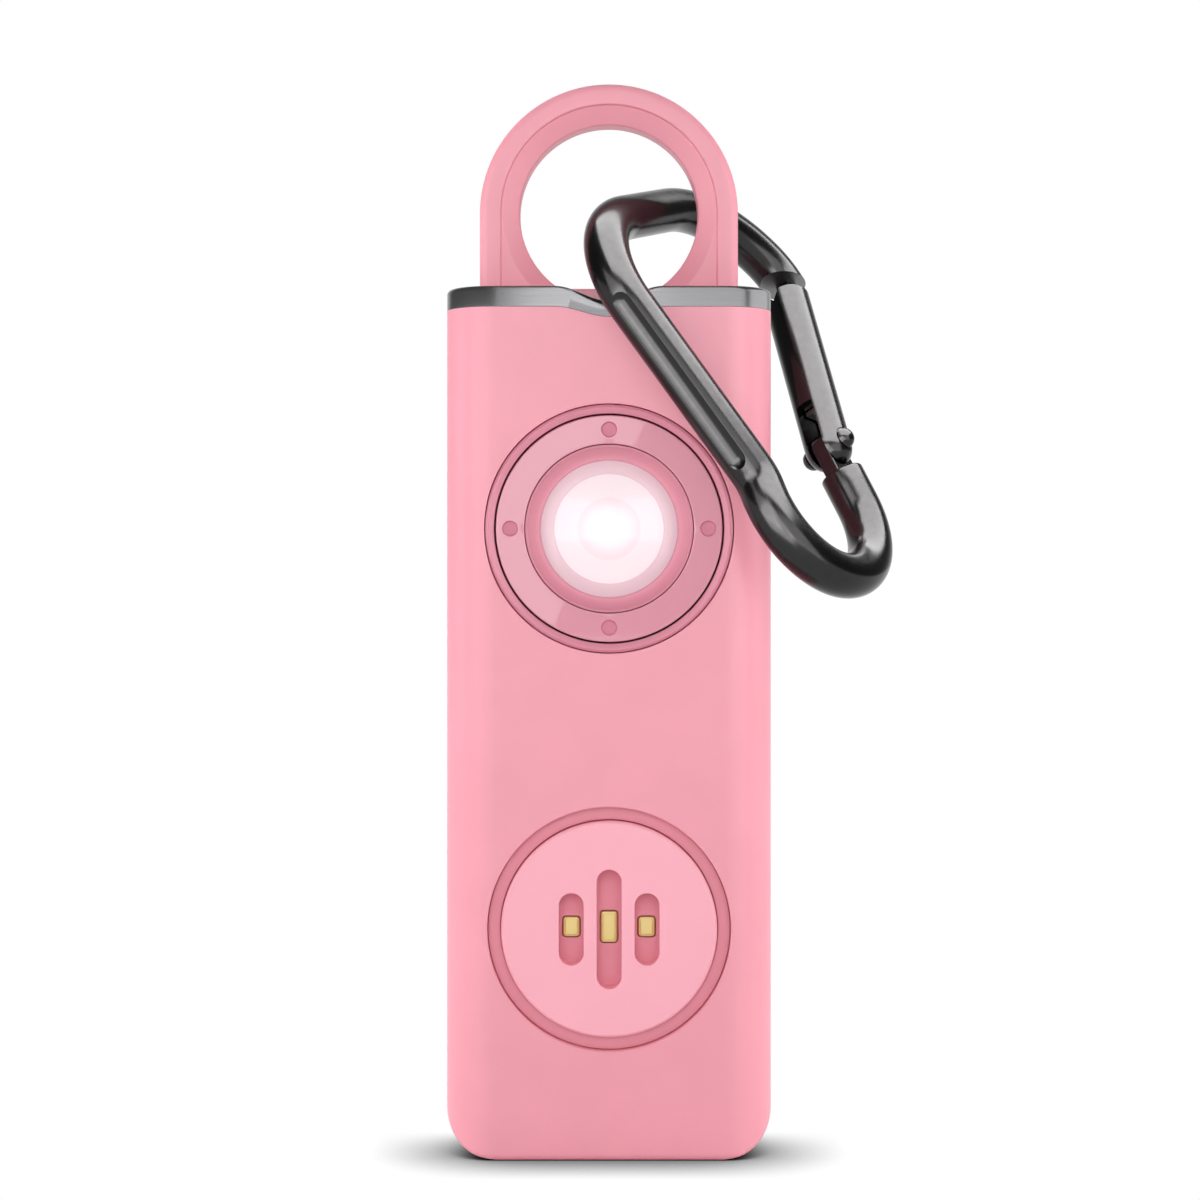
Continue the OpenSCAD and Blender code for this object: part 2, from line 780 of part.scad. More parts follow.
module carabiner_frame() {
    trim = 4 * bar_d;
    bar_end = tang_len - shoulder;
    color(black_metal) hang() difference() {
        union() {
            difference() {
                union() {
                    translate([0, -spine_len, 0]) rotate([-90, 0, 0]) cylinder(r = bar_r, h = spine_len);
                    rotate([0, 0, 90]) bar_run(top_run);
                }
                on_gate() translate([gate_len + nose_gap, 0, 0]) {
                    translate([-trim, -trim / 2, -trim / 2]) cube(trim);
                    for (m = [0, 1]) mirror([0, 0, m]) rotate([90, 0, 0]) linear_extrude(trim, center = true)
                        polygon([[-1, tang_t / 2 + 0.2], [0, tang_t / 2 + 0.2], [facet_len, bar_r], [facet_len, bar_d], [-1, bar_d]]);
                }
            }
            translate([0, -spine_len, 0]) rotate([0, 0, -90]) bar_run(toe_run);
            translate(toe_end[0]) rotate([0, 0, toe_end[1]]) {
                rotate([0, 90, 0]) cylinder(r = bar_r, h = bar_end);
                translate([bar_end - over, -tang_t, -tang_t / 2]) cube([shoulder + over, 2 * tang_t, tang_t]);
                translate([tang_len, 0, -tang_t / 2]) cylinder(r = tang_t, h = tang_t);
            }
            on_gate() translate([gate_len + nose_gap - tongue_len, -tongue_w / 2, -tang_t / 2])
                cube([tongue_len + over, tongue_w, tang_t]);
        }
        rotate([0, flute_turn, 0])
            translate([-bar_r - flute_r + flute_depth, -spine_len + flute_r, 0]) rotate([-90, 0, 0])
            rotate_extrude() {
                square([flute_r, spine_len - flute_r]);
                intersection() {
                    circle(flute_r);
                    translate([0, -flute_r]) square(flute_r);
                }
                translate([0, spine_len - flute_r]) intersection() {
                    circle(flute_r);
                    square(flute_r);
                }
            }
        translate([rivet_at[0], rivet_at[1], -bar_d]) cylinder(d = rivet_d + 0.02, h = 2 * bar_d);
    }
}

module carabiner_gate() {
    slot = tang_t + 2 * slot_gap;
    color(black_metal) hang() on_gate() difference() {
        union() {
            rotate([0, 90, 0]) cylinder(r = gate_r, h = gate_len);
            rotate([0, -90, 0]) rotate_extrude() intersection() {
                circle(gate_r);
                square(gate_r);
            }
        }
        translate([-gate_d, -gate_d, -slot / 2]) cube([gate_d + fork_slot, 2 * gate_d, slot]);
        translate([fork_slot - over, -gate_r / 2, -slot / 2])
            cube([pocket_end - fork_slot + over, gate_d, slot]);
        translate([gate_len - tip_slot, -gate_d, -slot / 2]) cube([tip_slot + over, 2 * gate_d, slot]);
        translate([0, 0, -gate_d]) cylinder(d = rivet_d + 2 * run, h = 2 * gate_d);
        for (s = [0, 180]) rotate([s, 0, 0]) translate([0, 0, gate_r - 0.2])
            cylinder(d = rivet_head + 0.4, h = over);
    }
}

module gate_rivet() {
    seat = gate_r - 0.2 + 0.05;
    dome = 0.55;
    sphere_r = (rivet_head * rivet_head / 4 + dome * dome) / (2 * dome);
    color(black_metal) hang() translate(rivet_at) {
        translate([0, 0, -seat]) cylinder(d = rivet_d, h = 2 * seat);
        for (s = [0, 180]) rotate([s, 0, 0]) translate([0, 0, seat]) rotate_extrude()
            intersection() {
                translate([0, dome - sphere_r]) circle(sphere_r);
                square([rivet_head / 2, dome]);
            }
    }
}

module gate_spring() {
    y0 = -gate_r / 2 + half_gap;
    color(steel) hang() on_gate() translate([fork_slot - 0.5, y0, -tang_t / 2]) {
        cube([pocket_end - fork_slot + 0.4, spring_t, tang_t]);
        translate([pocket_end - fork_slot + 0.4 - spring_t, 0, 0]) cube([spring_t, 2, tang_t]);
    }
}

front_cover();
rear_cover();
top_band();
case_screws();
pin_guide();
strobe_rim();
strobe_bezel();
strobe_reflector();
strobe_lens();
strobe_led();
sounder_housing();
sounder_cover();
sounder_plate();
piezo_ceramic();
sounder_contacts();
circuit_board();
controller_chip();
boost_coil();
driver_transistor();
switch_body();
switch_plunger();
upper_cell();
lower_cell();
cell_contacts();
cell_clips();
pull_loop();
release_pin();
carabiner_frame();
carabiner_gate();
gate_rivet();
gate_spring();
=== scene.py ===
from math import acos, cos, hypot, pi, radians, sin, sqrt, tan

import bmesh
import bpy
from mathutils import Matrix, Vector


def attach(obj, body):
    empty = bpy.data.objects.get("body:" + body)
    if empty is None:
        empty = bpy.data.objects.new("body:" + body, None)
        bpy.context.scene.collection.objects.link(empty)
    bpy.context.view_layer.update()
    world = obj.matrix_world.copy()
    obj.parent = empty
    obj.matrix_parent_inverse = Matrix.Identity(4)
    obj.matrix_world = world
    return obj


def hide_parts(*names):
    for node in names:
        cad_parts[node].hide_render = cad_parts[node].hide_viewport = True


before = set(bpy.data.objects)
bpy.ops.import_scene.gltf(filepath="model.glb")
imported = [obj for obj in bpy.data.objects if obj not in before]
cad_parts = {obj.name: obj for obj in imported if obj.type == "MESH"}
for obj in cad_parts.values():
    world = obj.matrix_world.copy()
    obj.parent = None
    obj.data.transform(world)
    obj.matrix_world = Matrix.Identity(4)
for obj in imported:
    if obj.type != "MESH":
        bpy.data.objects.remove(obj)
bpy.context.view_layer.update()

# ---------------------------------------------------------------- Photo studio
# A white sweep, bright behind the alarm and dim in front of it, with soft
# lamps in front and at both sides, and cards that only show in shiny faces.
# The camera stands level, 240 mm in front of the case; the picture is square.
MM = 0.001
EYE = Vector((-0.83, -240, 51.05)) * MM
scene = bpy.context.scene
scene.view_settings.view_transform = "Standard"

camera = bpy.data.objects.new("camera", bpy.data.cameras.new("camera"))
scene.collection.objects.link(camera)
camera.location = EYE
camera.rotation_euler = (pi / 2, 0, 0)
camera.data.sensor_width = 36
camera.data.lens = 76.83
camera.data.clip_start = 0.02
camera.data.clip_end = 20
scene.camera = camera


def node(tree, kind, **values):
    """Adds a node and sets its plain properties and its unlinked inputs."""
    made = tree.nodes.new(kind)
    for name, value in values.items():
        if hasattr(made, name) and name not in made.inputs:
            setattr(made, name, value)
        else:
            made.inputs[name.replace("_", " ")].default_value = value
    return made


def wire(tree, *links):
    """Joins nodes; each link is a node, its output, the next node and its input."""
    for source, output, target, socket in links:
        tree.links.new(source.outputs[output], target.inputs[socket])


# Flags: the metal band, the black clip and the bezel have cards of their own,
# the others are kept off the band, and the clip throws no shadow on the case.
band_only, clip_only, bezel_only, off_band, past_clip = (
    bpy.data.collections.new(name)
    for name in ("band_only", "clip_only", "bezel_only", "off_band", "past_clip"))


def flagged(piece, *groups):
    """Puts a piece in the lamps' groups; off_band and past_clip name pieces to leave out."""
    for group in groups:
        group.objects.link(piece)
        if group in (off_band, past_clip):
            for entry in group.collection_objects:
                entry.light_linking.link_state = "EXCLUDE"


def softbox(name, centre, facing, size, radiance, roll=0, lights=True, shows=True, reaches=None):
    """Rectangular lamp of an even brightness, in millimetres. It lights matt surfaces, shows in
    shiny ones, or both, and may be flagged so that it reaches some pieces only."""
    lamp = bpy.data.lights.new(name, "AREA")
    lamp.shape = "RECTANGLE"
    lamp.size, lamp.size_y = size[0] * MM, size[1] * MM
    lamp.energy = radiance * pi * lamp.size * lamp.size_y
    box = bpy.data.objects.new(name, lamp)
    scene.collection.objects.link(box)
    away = (Vector(facing) - Vector(centre)).to_track_quat("-Z", "Y")
    box.matrix_world = (Matrix.Translation(Vector(centre) * MM) @ away.to_matrix().to_4x4()
                        @ Matrix.Rotation(radians(roll), 4, "Z"))
    box.visible_camera = False
    box.visible_diffuse = lights
    box.visible_glossy = shows
    box.light_linking.receiver_collection = reaches
    if lights:
        box.light_linking.blocker_collection = past_clip


# The key card's right edge crosses the bezel's mirror image at a slant.
KEY, KEY_ROLL = ((-53, -420, 106), (-53, 0, 106), (124, 260)), -24
softbox("key_card", *KEY, 1.6, KEY_ROLL, reaches=off_band)
softbox("bezel_card", *KEY, 0.45, KEY_ROLL, lights=False, reaches=bezel_only)
softbox("front_fill", (0, -520, 260), (0, 0, 45), (520, 320), 1.85, shows=False)
for side, way in (("left", -1), ("right", 1)):
    softbox(side + "_side", (400 * way, -20, 70), (0, 0, 45), (200, 300), 5.5, shows=False)
# Tall strips beside the camera draw the light edge down both sides of the case.
for side, way in (("left", -1), ("right", 1)):
    softbox(side + "_strip", (252 * way, -373, 60), (0, 0, 60), (415, 420), 2.65, lights=False,
            reaches=off_band)
# The clip mirrors a wide card above it, and its flute one at the lower left.
softbox("roof", (130, -90, 375), (130, -90, 0), (600, 620), 10.0, lights=False, reaches=clip_only)
softbox("flute_card", (-38, -151, 46), (7, -10, 70), (190, 150), 5.0, 36, lights=False,
        reaches=clip_only)
# Three cards close to the band grade its face from left to right.
for name, centre, facing, size, radiance in (
        ("band_front", (-2.5, -36, 140), (-2.5, 0, 140), (15, 130), 0.6),
        ("band_wide", (22, -37, 140), (22, 0, 140), (64, 130), 0.85),
        ("band_right", (58, 2, 85), (13, -4, 79), (60, 50), 1.0)):
    softbox(name, centre, facing, size, radiance, lights=False, reaches=band_only)

world = bpy.data.worlds.new("studio")
scene.world = world
world.use_nodes = True
sky = world.node_tree
sky.nodes.clear()
around = node(sky, "ShaderNodeTexCoord")
heading = node(sky, "ShaderNodeSeparateXYZ")
behind = node(sky, "ShaderNodeMapRange", interpolation_type="SMOOTHSTEP",
              From_Min=-0.15, From_Max=0.6, To_Min=0.42, To_Max=1.0)
mirrored = node(sky, "ShaderNodeMapRange", interpolation_type="SMOOTHSTEP",
                From_Min=0.55, From_Max=1.0, To_Min=0.12, To_Max=0.9)
path = node(sky, "ShaderNodeLightPath")
for_gloss = node(sky, "ShaderNodeMix", data_type="FLOAT")
for_camera = node(sky, "ShaderNodeMix", data_type="FLOAT")
glow = node(sky, "ShaderNodeBackground", Color=(1, 1, 1, 1))
sky_out = node(sky, "ShaderNodeOutputWorld")
wire(sky, (around, "Generated", heading, 0), (heading, "Y", behind, "Value"),
     (heading, "Y", mirrored, "Value"), (path, "Is Glossy Ray", for_gloss, 0),
     (behind, 0, for_gloss, 2), (mirrored, 0, for_gloss, 3),
     (path, "Is Camera Ray", for_camera, 0), (for_gloss, 0, for_camera, 2))
for_camera.inputs[3].default_value = 1.0
wire(sky, (for_camera, 0, glow, "Strength"), (glow, 0, sky_out, "Surface"))

floor_mesh = bpy.data.meshes.new("floor")
FLOOR_REACH = 3.0        # metres
SHADOW_REACH, SHADOW_EDGE, SHADOW_POWER = 7.8, 6.0, 2.1
floor_mesh.from_pydata([(x * FLOOR_REACH, y * FLOOR_REACH, 0)
                        for x, y in ((-1, -1), (1, -1), (1, 1), (-1, 1))], [], [(0, 1, 2, 3)])
floor = bpy.data.objects.new("floor", floor_mesh)
scene.collection.objects.link(floor)
paper = bpy.data.materials.new("white_paper")
paper.use_nodes = True
tree = paper.node_tree
tree.nodes.clear()
# The contact shadow shows where the floor is close to the base, most in front.
near = node(tree, "ShaderNodeAmbientOcclusion", samples=16, Distance=SHADOW_REACH * MM)
where = node(tree, "ShaderNodeTexCoord")
along = node(tree, "ShaderNodeSeparateXYZ")
fade = node(tree, "ShaderNodeMapRange", From_Min=SHADOW_EDGE * MM, From_Max=-SHADOW_EDGE * MM,
            To_Min=0.0, To_Max=SHADOW_POWER)
shade = node(tree, "ShaderNodeMath", operation="POWER")
seen = node(tree, "ShaderNodeEmission")
bounced = node(tree, "ShaderNodeBsdfDiffuse", Color=(0.75, 0.75, 0.75, 1))
path = node(tree, "ShaderNodeLightPath")
shows = node(tree, "ShaderNodeMath", operation="MAXIMUM")
pick = node(tree, "ShaderNodeMixShader")
paper_out = node(tree, "ShaderNodeOutputMaterial")
wire(tree, (where, "Object", along, 0), (along, "Y", fade, "Value"), (near, "AO", shade, 0),
     (fade, 0, shade, 1), (shade, 0, seen, "Strength"), (path, "Is Camera Ray", shows, 0),
     (path, "Is Glossy Ray", shows, 1), (shows, 0, pick, 0), (bounced, 0, pick, 1),
     (seen, 0, pick, 2), (pick, 0, paper_out, "Surface"))
floor_mesh.materials.append(paper)

# ----------------------------------------------------------------- Front cover
# Injection-moulded ABS in pink, with a fine spark-eroded surface. It carries
# the light and the sounder in two round openings and meets the rear cover at
# a seam that runs up both sides and across the base.
CASE_W, CASE_D, CASE_H = 30.0, 14.0, 79.7
CORNER_R, BASE_R, FOOT_R = 4.5, 4.5, 0.6
BASE_SOFT = 1.1          # radius where the lower corners cross the upright edges
WALL, SEAM_Y, SEAM_SOFT = 1.5, 1.5, 0.12
BAND_Z, DIP_W, DIP_LOW = 77.75, 10.0, 0.92
STROBE_Z, STROBE_HOLE = 57.55, 22.76
SOUNDER_Z, SOUNDER_HOLE = 21.07, 22.2
PINK = (0.905, 0.345, 0.425, 1)


def clean(mesh, slivers=True):
    """Merges doubles, takes out slivers and turns the faces outwards."""
    tidy = bmesh.new()
    tidy.from_mesh(mesh)
    bmesh.ops.remove_doubles(tidy, verts=tidy.verts, dist=1e-7)
    if slivers:
        bmesh.ops.dissolve_degenerate(tidy, edges=tidy.edges, dist=1e-7)
    bmesh.ops.recalc_face_normals(tidy, faces=tidy.faces)
    tidy.to_mesh(mesh)
    tidy.free()


def new_piece(name, points, faces):
    """Closed mesh from millimetre points."""
    mesh = bpy.data.meshes.new(name)
    mesh.from_pydata([Vector(p) * MM for p in points], [], faces)
    clean(mesh)
    made = bpy.data.objects.new(name, mesh)
    scene.collection.objects.link(made)
    return made


def bake(piece):
    """Turns the modifiers into plain mesh."""
    bpy.context.view_layer.update()
    evaluated = piece.evaluated_get(bpy.context.evaluated_depsgraph_get())
    mesh = bpy.data.meshes.new_from_object(evaluated)
    piece.modifiers.clear()
    old, piece.data = piece.data, mesh
    name = old.name
    bpy.data.meshes.remove(old)
    mesh.name = name


def carve(piece, *tools, keep="DIFFERENCE"):
    """Cuts or joins the tools and throws them away."""
    for tool in tools:
        step = piece.modifiers.new("carve", "BOOLEAN")
        step.operation, step.solver, step.object = keep, "EXACT", tool
    bake(piece)
    for tool in tools:
        mesh = tool.data
        bpy.data.objects.remove(tool)
        bpy.data.meshes.remove(mesh)


def polish(piece, crease):
    """Smooth shading with crisp creases and flats that stay flat."""
    mesh = piece.data
    mesh.shade_smooth()
    mesh.set_sharp_from_angle(angle=radians(crease))
    weigh = piece.modifiers.new("weigh", "WEIGHTED_NORMAL")
    weigh.keep_sharp = True
    weigh.weight = 80
    bake(piece)


def finish_piece(piece, material, body, node_name, crease=38):
    """Shades a piece, unless crease is None, and gives it its material and its place."""
    if crease is not None:
        polish(piece, crease)
    piece.data.materials.clear()
    piece.data.materials.append(material)
    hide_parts(node_name)
    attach(piece, body)


def dip(x, depth):
    return depth * (1 + cos(2 * pi * x / DIP_W)) / 2 if abs(x) < DIP_W / 2 else 0


def quarter(w, d, corner_r, soft, steps=18):
    """Quarter of the case outline from its side to its front, at half width w and half depth d."""
    cx, cy, inner = CASE_W / 2 - CORNER_R, d - corner_r, corner_r - soft
    share = (w - soft - cx) / inner
    turn = acos(min(1, share)) if share > 0 else pi / 2
    vx = w - soft
    vy = cy + inner * sin(turn) if share > 0 else d - soft
    line = []
    for i in range(steps + 1):
        a = pi / 2 * i / steps
        c, s = cos(a), sin(a)
        line.append((vx + soft * c, vy + soft * s) if a < turn
                    else (cx + corner_r * c, cy + corner_r * s))
    return line


def cover_rows(side, inset):
    """Rows of points up one half of the case, from seam to seam, moved in by inset."""
    base_r, foot_r = BASE_R - inset, max(FOOT_R - inset, 0.02)
    levels = [base_r * (1 - cos(radians(a))) for a in range(0, 91, 5)]
    levels += [z - inset for z in (10, 16, 26, 34, 42, 50, 58, 66, 72, BAND_Z)]
    across, rows = 48, []
    for z in levels:
        low, foot = min(z, base_r), min(z, foot_r)
        w = CASE_W / 2 - BASE_R + sqrt(base_r ** 2 - (base_r - low) ** 2)
        d = CASE_D / 2 - inset - foot_r + sqrt(foot_r ** 2 - (foot_r - foot) ** 2)
        corner = quarter(w, d, CORNER_R - inset, BASE_SOFT)
        start = side * SEAM_Y
        right = [(w, start + (corner[0][1] - start) * i / 4) for i in range(4)] + corner
        flat = [(corner[-1][0] * (1 - 2 * i / across), d) for i in range(1, across)]
        line = right + flat + [(-x, y) for x, y in reversed(right)]
        top = z == levels[-1]
        rows.append([(x, side * y, z + inset
                      - (dip(x, DIP_LOW) if top and y > CASE_D / 2 - inset - 1 else 0))
                     for x, y in line])
    return rows


def cover_half(name, side):
    """One half of the case as a closed wall with softened seam edges; side is -1 for the front."""
    outer, inner = cover_rows(side, 0), cover_rows(side, WALL)
    n, m = len(outer[0]), len(outer)
    points = [p for row in outer + inner for p in row]
    faces = []
    for j in range(m - 1):
        for i in range(n - 1):
            quad = (j * n + i, j * n + i + 1, (j + 1) * n + i + 1, (j + 1) * n + i)
            faces += [quad, tuple(m * n + v for v in reversed(quad))]
        for i in (0, n - 1):
            faces.append((j * n + i, (j + 1) * n + i, (m + j + 1) * n + i, (m + j) * n + i))
    faces += [tuple(range(n)), tuple(range(m * n, m * n + n)), (0, n - 1, m * n + n - 1, m * n)]
    top = (m - 1) * n
    faces += [(top + i, top + i + 1, m * n + top + i + 1, m * n + top + i) for i in range(n - 1)]
    made = new_piece(name, points, faces)
    soft = made.modifiers.new("soft", "BEVEL")
    soft.width, soft.segments, soft.limit_method = SEAM_SOFT * MM, 2, "ANGLE"
    soft.angle_limit = radians(50)
    bake(made)
    return made


def turned(name, section, z, steps=160):
    """Piece turned about a front-to-back axis at height z, from a closed [radius, y] outline."""
    points, faces = [], []
    n = len(section)
    for i in range(steps):
        a = 2 * pi * i / steps
        points += [(r * cos(a), y, z + r * sin(a)) for r, y in section]
    for i in range(steps):
        k = (i + 1) % steps
        for j in range(n):
            m = (j + 1) % n
            if section[j][0] == 0 and section[m][0] == 0:
                continue
            faces.append((i * n + j, i * n + m, k * n + m, k * n + j))
    return new_piece(name, points, faces)


def open_tree(name, kind, inputs, outputs):
    """New node group with named sockets, its two end nodes and its inputs' identifiers."""
    tree = bpy.data.node_groups.new(name, kind)
    known = {}
    for label, socket, *value in inputs:
        made = tree.interface.new_socket(label, in_out="INPUT", socket_type="NodeSocket" + socket)
        known[label] = made.identifier
        if value:
            made.default_value = value[0]
    for label, socket in outputs:
        tree.interface.new_socket(label, in_out="OUTPUT", socket_type="NodeSocket" + socket)
    return tree, node(tree, "NodeGroupInput"), node(tree, "NodeGroupOutput"), known


SKIN = [("Colour", "Color"), ("Roughness", "Float"), ("Height", "Float")]


def grain_group():
    """Moulded surface: faint cloudiness in the colour and fine spark grain."""
    group, given, out, _ = open_tree("moulded_grain", "ShaderNodeTree", [
        ("Colour", "Color", PINK), ("Cloud", "Float", 0.05), ("Roughness", "Float", 0.42),
        ("Grains per metre", "Float", 5200.0)], SKIN)
    where = node(group, "ShaderNodeTexCoord")
    spark = node(group, "ShaderNodeTexNoise", Detail=3.0, Roughness=0.6)
    cloud = node(group, "ShaderNodeTexNoise", Scale=140.0, Detail=2.0)
    shade = node(group, "ShaderNodeMapRange", From_Min=0.25, From_Max=0.75)
    low = node(group, "ShaderNodeMath", operation="SUBTRACT")
    low.inputs[0].default_value = 1.0
    tint = node(group, "ShaderNodeMix", data_type="RGBA", blend_type="MULTIPLY")
    tint.inputs[0].default_value = 1.0
    rough = node(group, "ShaderNodeMapRange", From_Min=0.3, From_Max=0.7)
    more = node(group, "ShaderNodeMath", operation="ADD")
    more.inputs[1].default_value = 0.08
    wire(group, (where, "Object", spark, "Vector"), (where, "Object", cloud, "Vector"),
         (given, "Grains per metre", spark, "Scale"), (given, "Cloud", low, 1),
         (cloud, "Fac", shade, "Value"), (low, 0, shade, "To Min"), (given, "Colour", tint, 6),
         (shade, 0, tint, 7), (spark, "Fac", rough, "Value"),
         (given, "Roughness", rough, "To Min"), (given, "Roughness", more, 0),
         (more, 0, rough, "To Max"), (tint, 2, out, "Colour"), (rough, 0, out, "Roughness"),
         (spark, "Fac", out, "Height"))
    return group


MOULDED = grain_group()


def skinned(name, group, values, relief, depth, sockets):
    """Material with the colour, roughness and relief of a group, and plain shader values."""
    made = bpy.data.materials.new(name)
    made.use_nodes = True
    tree = made.node_tree
    shader = tree.nodes["Principled BSDF"]
    skin = node(tree, "ShaderNodeGroup")
    skin.node_tree = group
    for key, value in values.items():
        skin.inputs[key].default_value = value
    bump = node(tree, "ShaderNodeBump", Strength=relief, Distance=depth * MM)
    wire(tree, (skin, "Colour", shader, "Base Color"), (skin, "Roughness", shader, "Roughness"),
         (skin, "Height", bump, "Height"), (bump, "Normal", shader, "Normal"))
    for key, value in sockets.items():
        shader.inputs[key.replace("_", " ")].default_value = value
    return made


def moulded(name, colour, roughness=0.32, cloud=0.05, grain=5200.0, depth=0.008, **sockets):
    """Plastic with the moulded grain; further shader values are set on the shader itself."""
    return skinned(name, MOULDED, {"Colour": colour, "Cloud": cloud, "Roughness": roughness,
                                   "Grains per metre": grain}, 0.35, depth, sockets)


pink_plastic = moulded("pink_plastic", PINK)


def opening_tool(diameter, depth, z, flare=0.1):
    """Round cutter from the front, with a flared mouth that leaves a small chamfer."""
    r, y = diameter / 2, -CASE_D / 2
    return turned("cutter", [(0, y - 1), (r + flare + 1, y - 1), (r + flare, y), (r, y + flare),
                             (r, y + depth), (0, y + depth)], z)


front_cover = cover_half("front_cover_shell", -1)
carve(front_cover, opening_tool(STROBE_HOLE, 2.6, STROBE_Z, 0.06),
      opening_tool(SOUNDER_HOLE, 2.6, SOUNDER_Z, 0.1))
finish_piece(front_cover, pink_plastic, "case", "front_cover")

# ---------------------------------------------------------------- Strobe light
# A moulded rim is bonded into the front opening and holds a clear-coated bezel
# with four dimples. Behind it a satin reflector funnels into the frosted lens.
# The lens and the inner edge of the reflector carry a painted glow, standing in
# for light from the white lamp on the board, which itself gives no light.
BEZEL_D, BEZEL_BORE, BEZEL_T = 20.65, 15.45, 1.6
RIM_D = 22.6
LENS_D, CORE_D, LENS_SINK, LENS_T = 12.6, 10.0, 1.3, 1.6
DIMPLE_D, DIMPLES, DIMPLE_DEEP = 1.42, 4, 0.32
FRONT = -CASE_D / 2
REFLECTOR_BACK = -2.5
GLOW_REACH = 8.0


def eased(section, radius, steps=4):
    """Rounds the corners of a closed section; radius is one number or one for each corner."""
    n = len(section)
    line = []
    for i, here in enumerate(section):
        r = radius[i] if isinstance(radius, (list, tuple)) else radius
        p, a, b = Vector(here), Vector(section[i - 1]), Vector(section[(i + 1) % n])
        to_a, to_b = (a - p), (b - p)
        if r <= 0 or to_a.length < 1e-6 or to_b.length < 1e-6:
            line.append(tuple(p))
            continue
        half = to_a.angle(to_b) / 2
        back = min(r / tan(half), to_a.length * 0.48, to_b.length * 0.48)
        r = back * tan(half)
        to_a.normalize()
        to_b.normalize()
        mid = p + (to_a + to_b).normalized() * (r / sin(half))
        first, last = p + to_a * back - mid, p + to_b * back - mid
        bend = pi - 2 * half
        for k in range(steps + 1):
            near, far = sin(bend * (1 - k / steps)), sin(bend * k / steps)
            line.append(tuple(mid + (first * near + last * far) / sin(bend)))
    return line


rim_in, rim_out = BEZEL_D / 2 + 0.16, RIM_D / 2
strobe_rim = turned("strobe_rim_ring", eased(
    [(rim_in, FRONT + BEZEL_T), (rim_in, FRONT + 0.12), (rim_out - 0.28, FRONT - 0.09),
     (rim_out, FRONT + 0.16), (rim_out, FRONT + BEZEL_T)], [0, 0.14, 0.12, 0.08, 0]), STROBE_Z)
rim_plastic = moulded("rim_plastic", (0.72, 0.25, 0.335, 1), roughness=0.3, cloud=0.04)
finish_piece(strobe_rim, rim_plastic, "case", "strobe_rim")

bez_in, bez_out = BEZEL_BORE / 2, BEZEL_D / 2
strobe_bezel = turned("strobe_bezel_ring", eased(
    [(bez_in, FRONT + BEZEL_T), (bez_in, FRONT + 0.1), (bez_out, FRONT + 0.1),
     (bez_out, FRONT + BEZEL_T)], [0, 0.1, 0.14, 0], 8), STROBE_Z)


def run_tree(piece, tree, known, values):
    """Runs a Geometry Nodes tree on a piece, with values for its named inputs."""
    step = piece.modifiers.new("tree", "NODES")
    step.node_group = tree
    for label, value in values.items():
        step[known[label]] = value
    bake(piece)


def copies(piece, name, pattern, drives, height, finish, **fixed):
    """Geometry Nodes tree that puts copies of a piece on an upright pattern of points. Drives
    gives each named input with its kind, the pattern's socket and the value."""
    solid = [("Geometry", "Geometry")]
    sockets = [(label, kind) for label, kind, _, _ in drives]
    tree, given, out, known = open_tree(name, "GeometryNodeTree", solid + sockets + [
        ("Height", "Float"), ("Finish", "Material")], solid)
    points = node(tree, pattern, **fixed)
    stand = node(tree, "GeometryNodeTransform", Rotation=(pi / 2, 0, 0))
    lift = node(tree, "ShaderNodeCombineXYZ")
    put, real, paint = (node(tree, "GeometryNode" + kind) for kind in
                        ("InstanceOnPoints", "RealizeInstances", "SetMaterial"))
    wire(tree, *[(given, label, points, socket) for label, _, socket, _ in drives])
    wire(tree, (given, "Height", lift, "Z"), (points, 0, stand, "Geometry"),
         (lift, 0, stand, "Translation"), (stand, 0, put, "Points"),
         (given, "Geometry", put, "Instance"), (put, 0, real, 0), (real, 0, paint, "Geometry"),
         (given, "Finish", paint, "Material"), (paint, 0, out, 0))
    run_tree(piece, tree, known, {**{label: value for label, _, _, value in drives},
                                  "Height": height * MM, "Finish": finish})


dimples = turned("dimple_cutter", eased(
    [(0, FRONT - 1), (DIMPLE_D / 2 + 0.1, FRONT - 1), (DIMPLE_D / 2 + 0.02, FRONT + 0.1),
     (DIMPLE_D / 2 - 0.06, FRONT + 0.1 + DIMPLE_DEEP), (0, FRONT + 0.1 + DIMPLE_DEEP)],
    [0, 0, 0.05, 0.16, 0], 6), 0, steps=64)
copies(dimples, "dimple_ring", "GeometryNodeMeshCircle", [
    ("Dimples", "Int", "Vertices", DIMPLES),
    ("Ring radius", "Float", "Radius", (BEZEL_D + BEZEL_BORE) / 4 * MM)], STROBE_Z, rim_plastic)
carve(strobe_bezel, dimples)
bezel_gloss = moulded("bezel_gloss", (0.73, 0.262, 0.345, 1), roughness=0.3, cloud=0.03,
                      depth=0.0, Coat_Weight=1.0, Coat_Roughness=0.02, Coat_IOR=1.6)
finish_piece(strobe_bezel, bezel_gloss, "case", "strobe_bezel", 8)
flagged(strobe_bezel, bezel_only)
# The dimples are matt, and their slightly darker pink is painted shade in the recesses.
strobe_bezel.data.materials.append(moulded("dimple_matt_shade", (0.70, 0.24, 0.325, 1), roughness=0.6))
for spot in strobe_bezel.data.polygons:
    out_x, out_z = spot.center.x / MM, spot.center.z / MM - STROBE_Z
    on_ring = bez_in + 0.3 < hypot(out_x, out_z) < bez_out - 0.3
    if on_ring and spot.center.y / MM > FRONT + 0.13:
        spot.material_index = 1

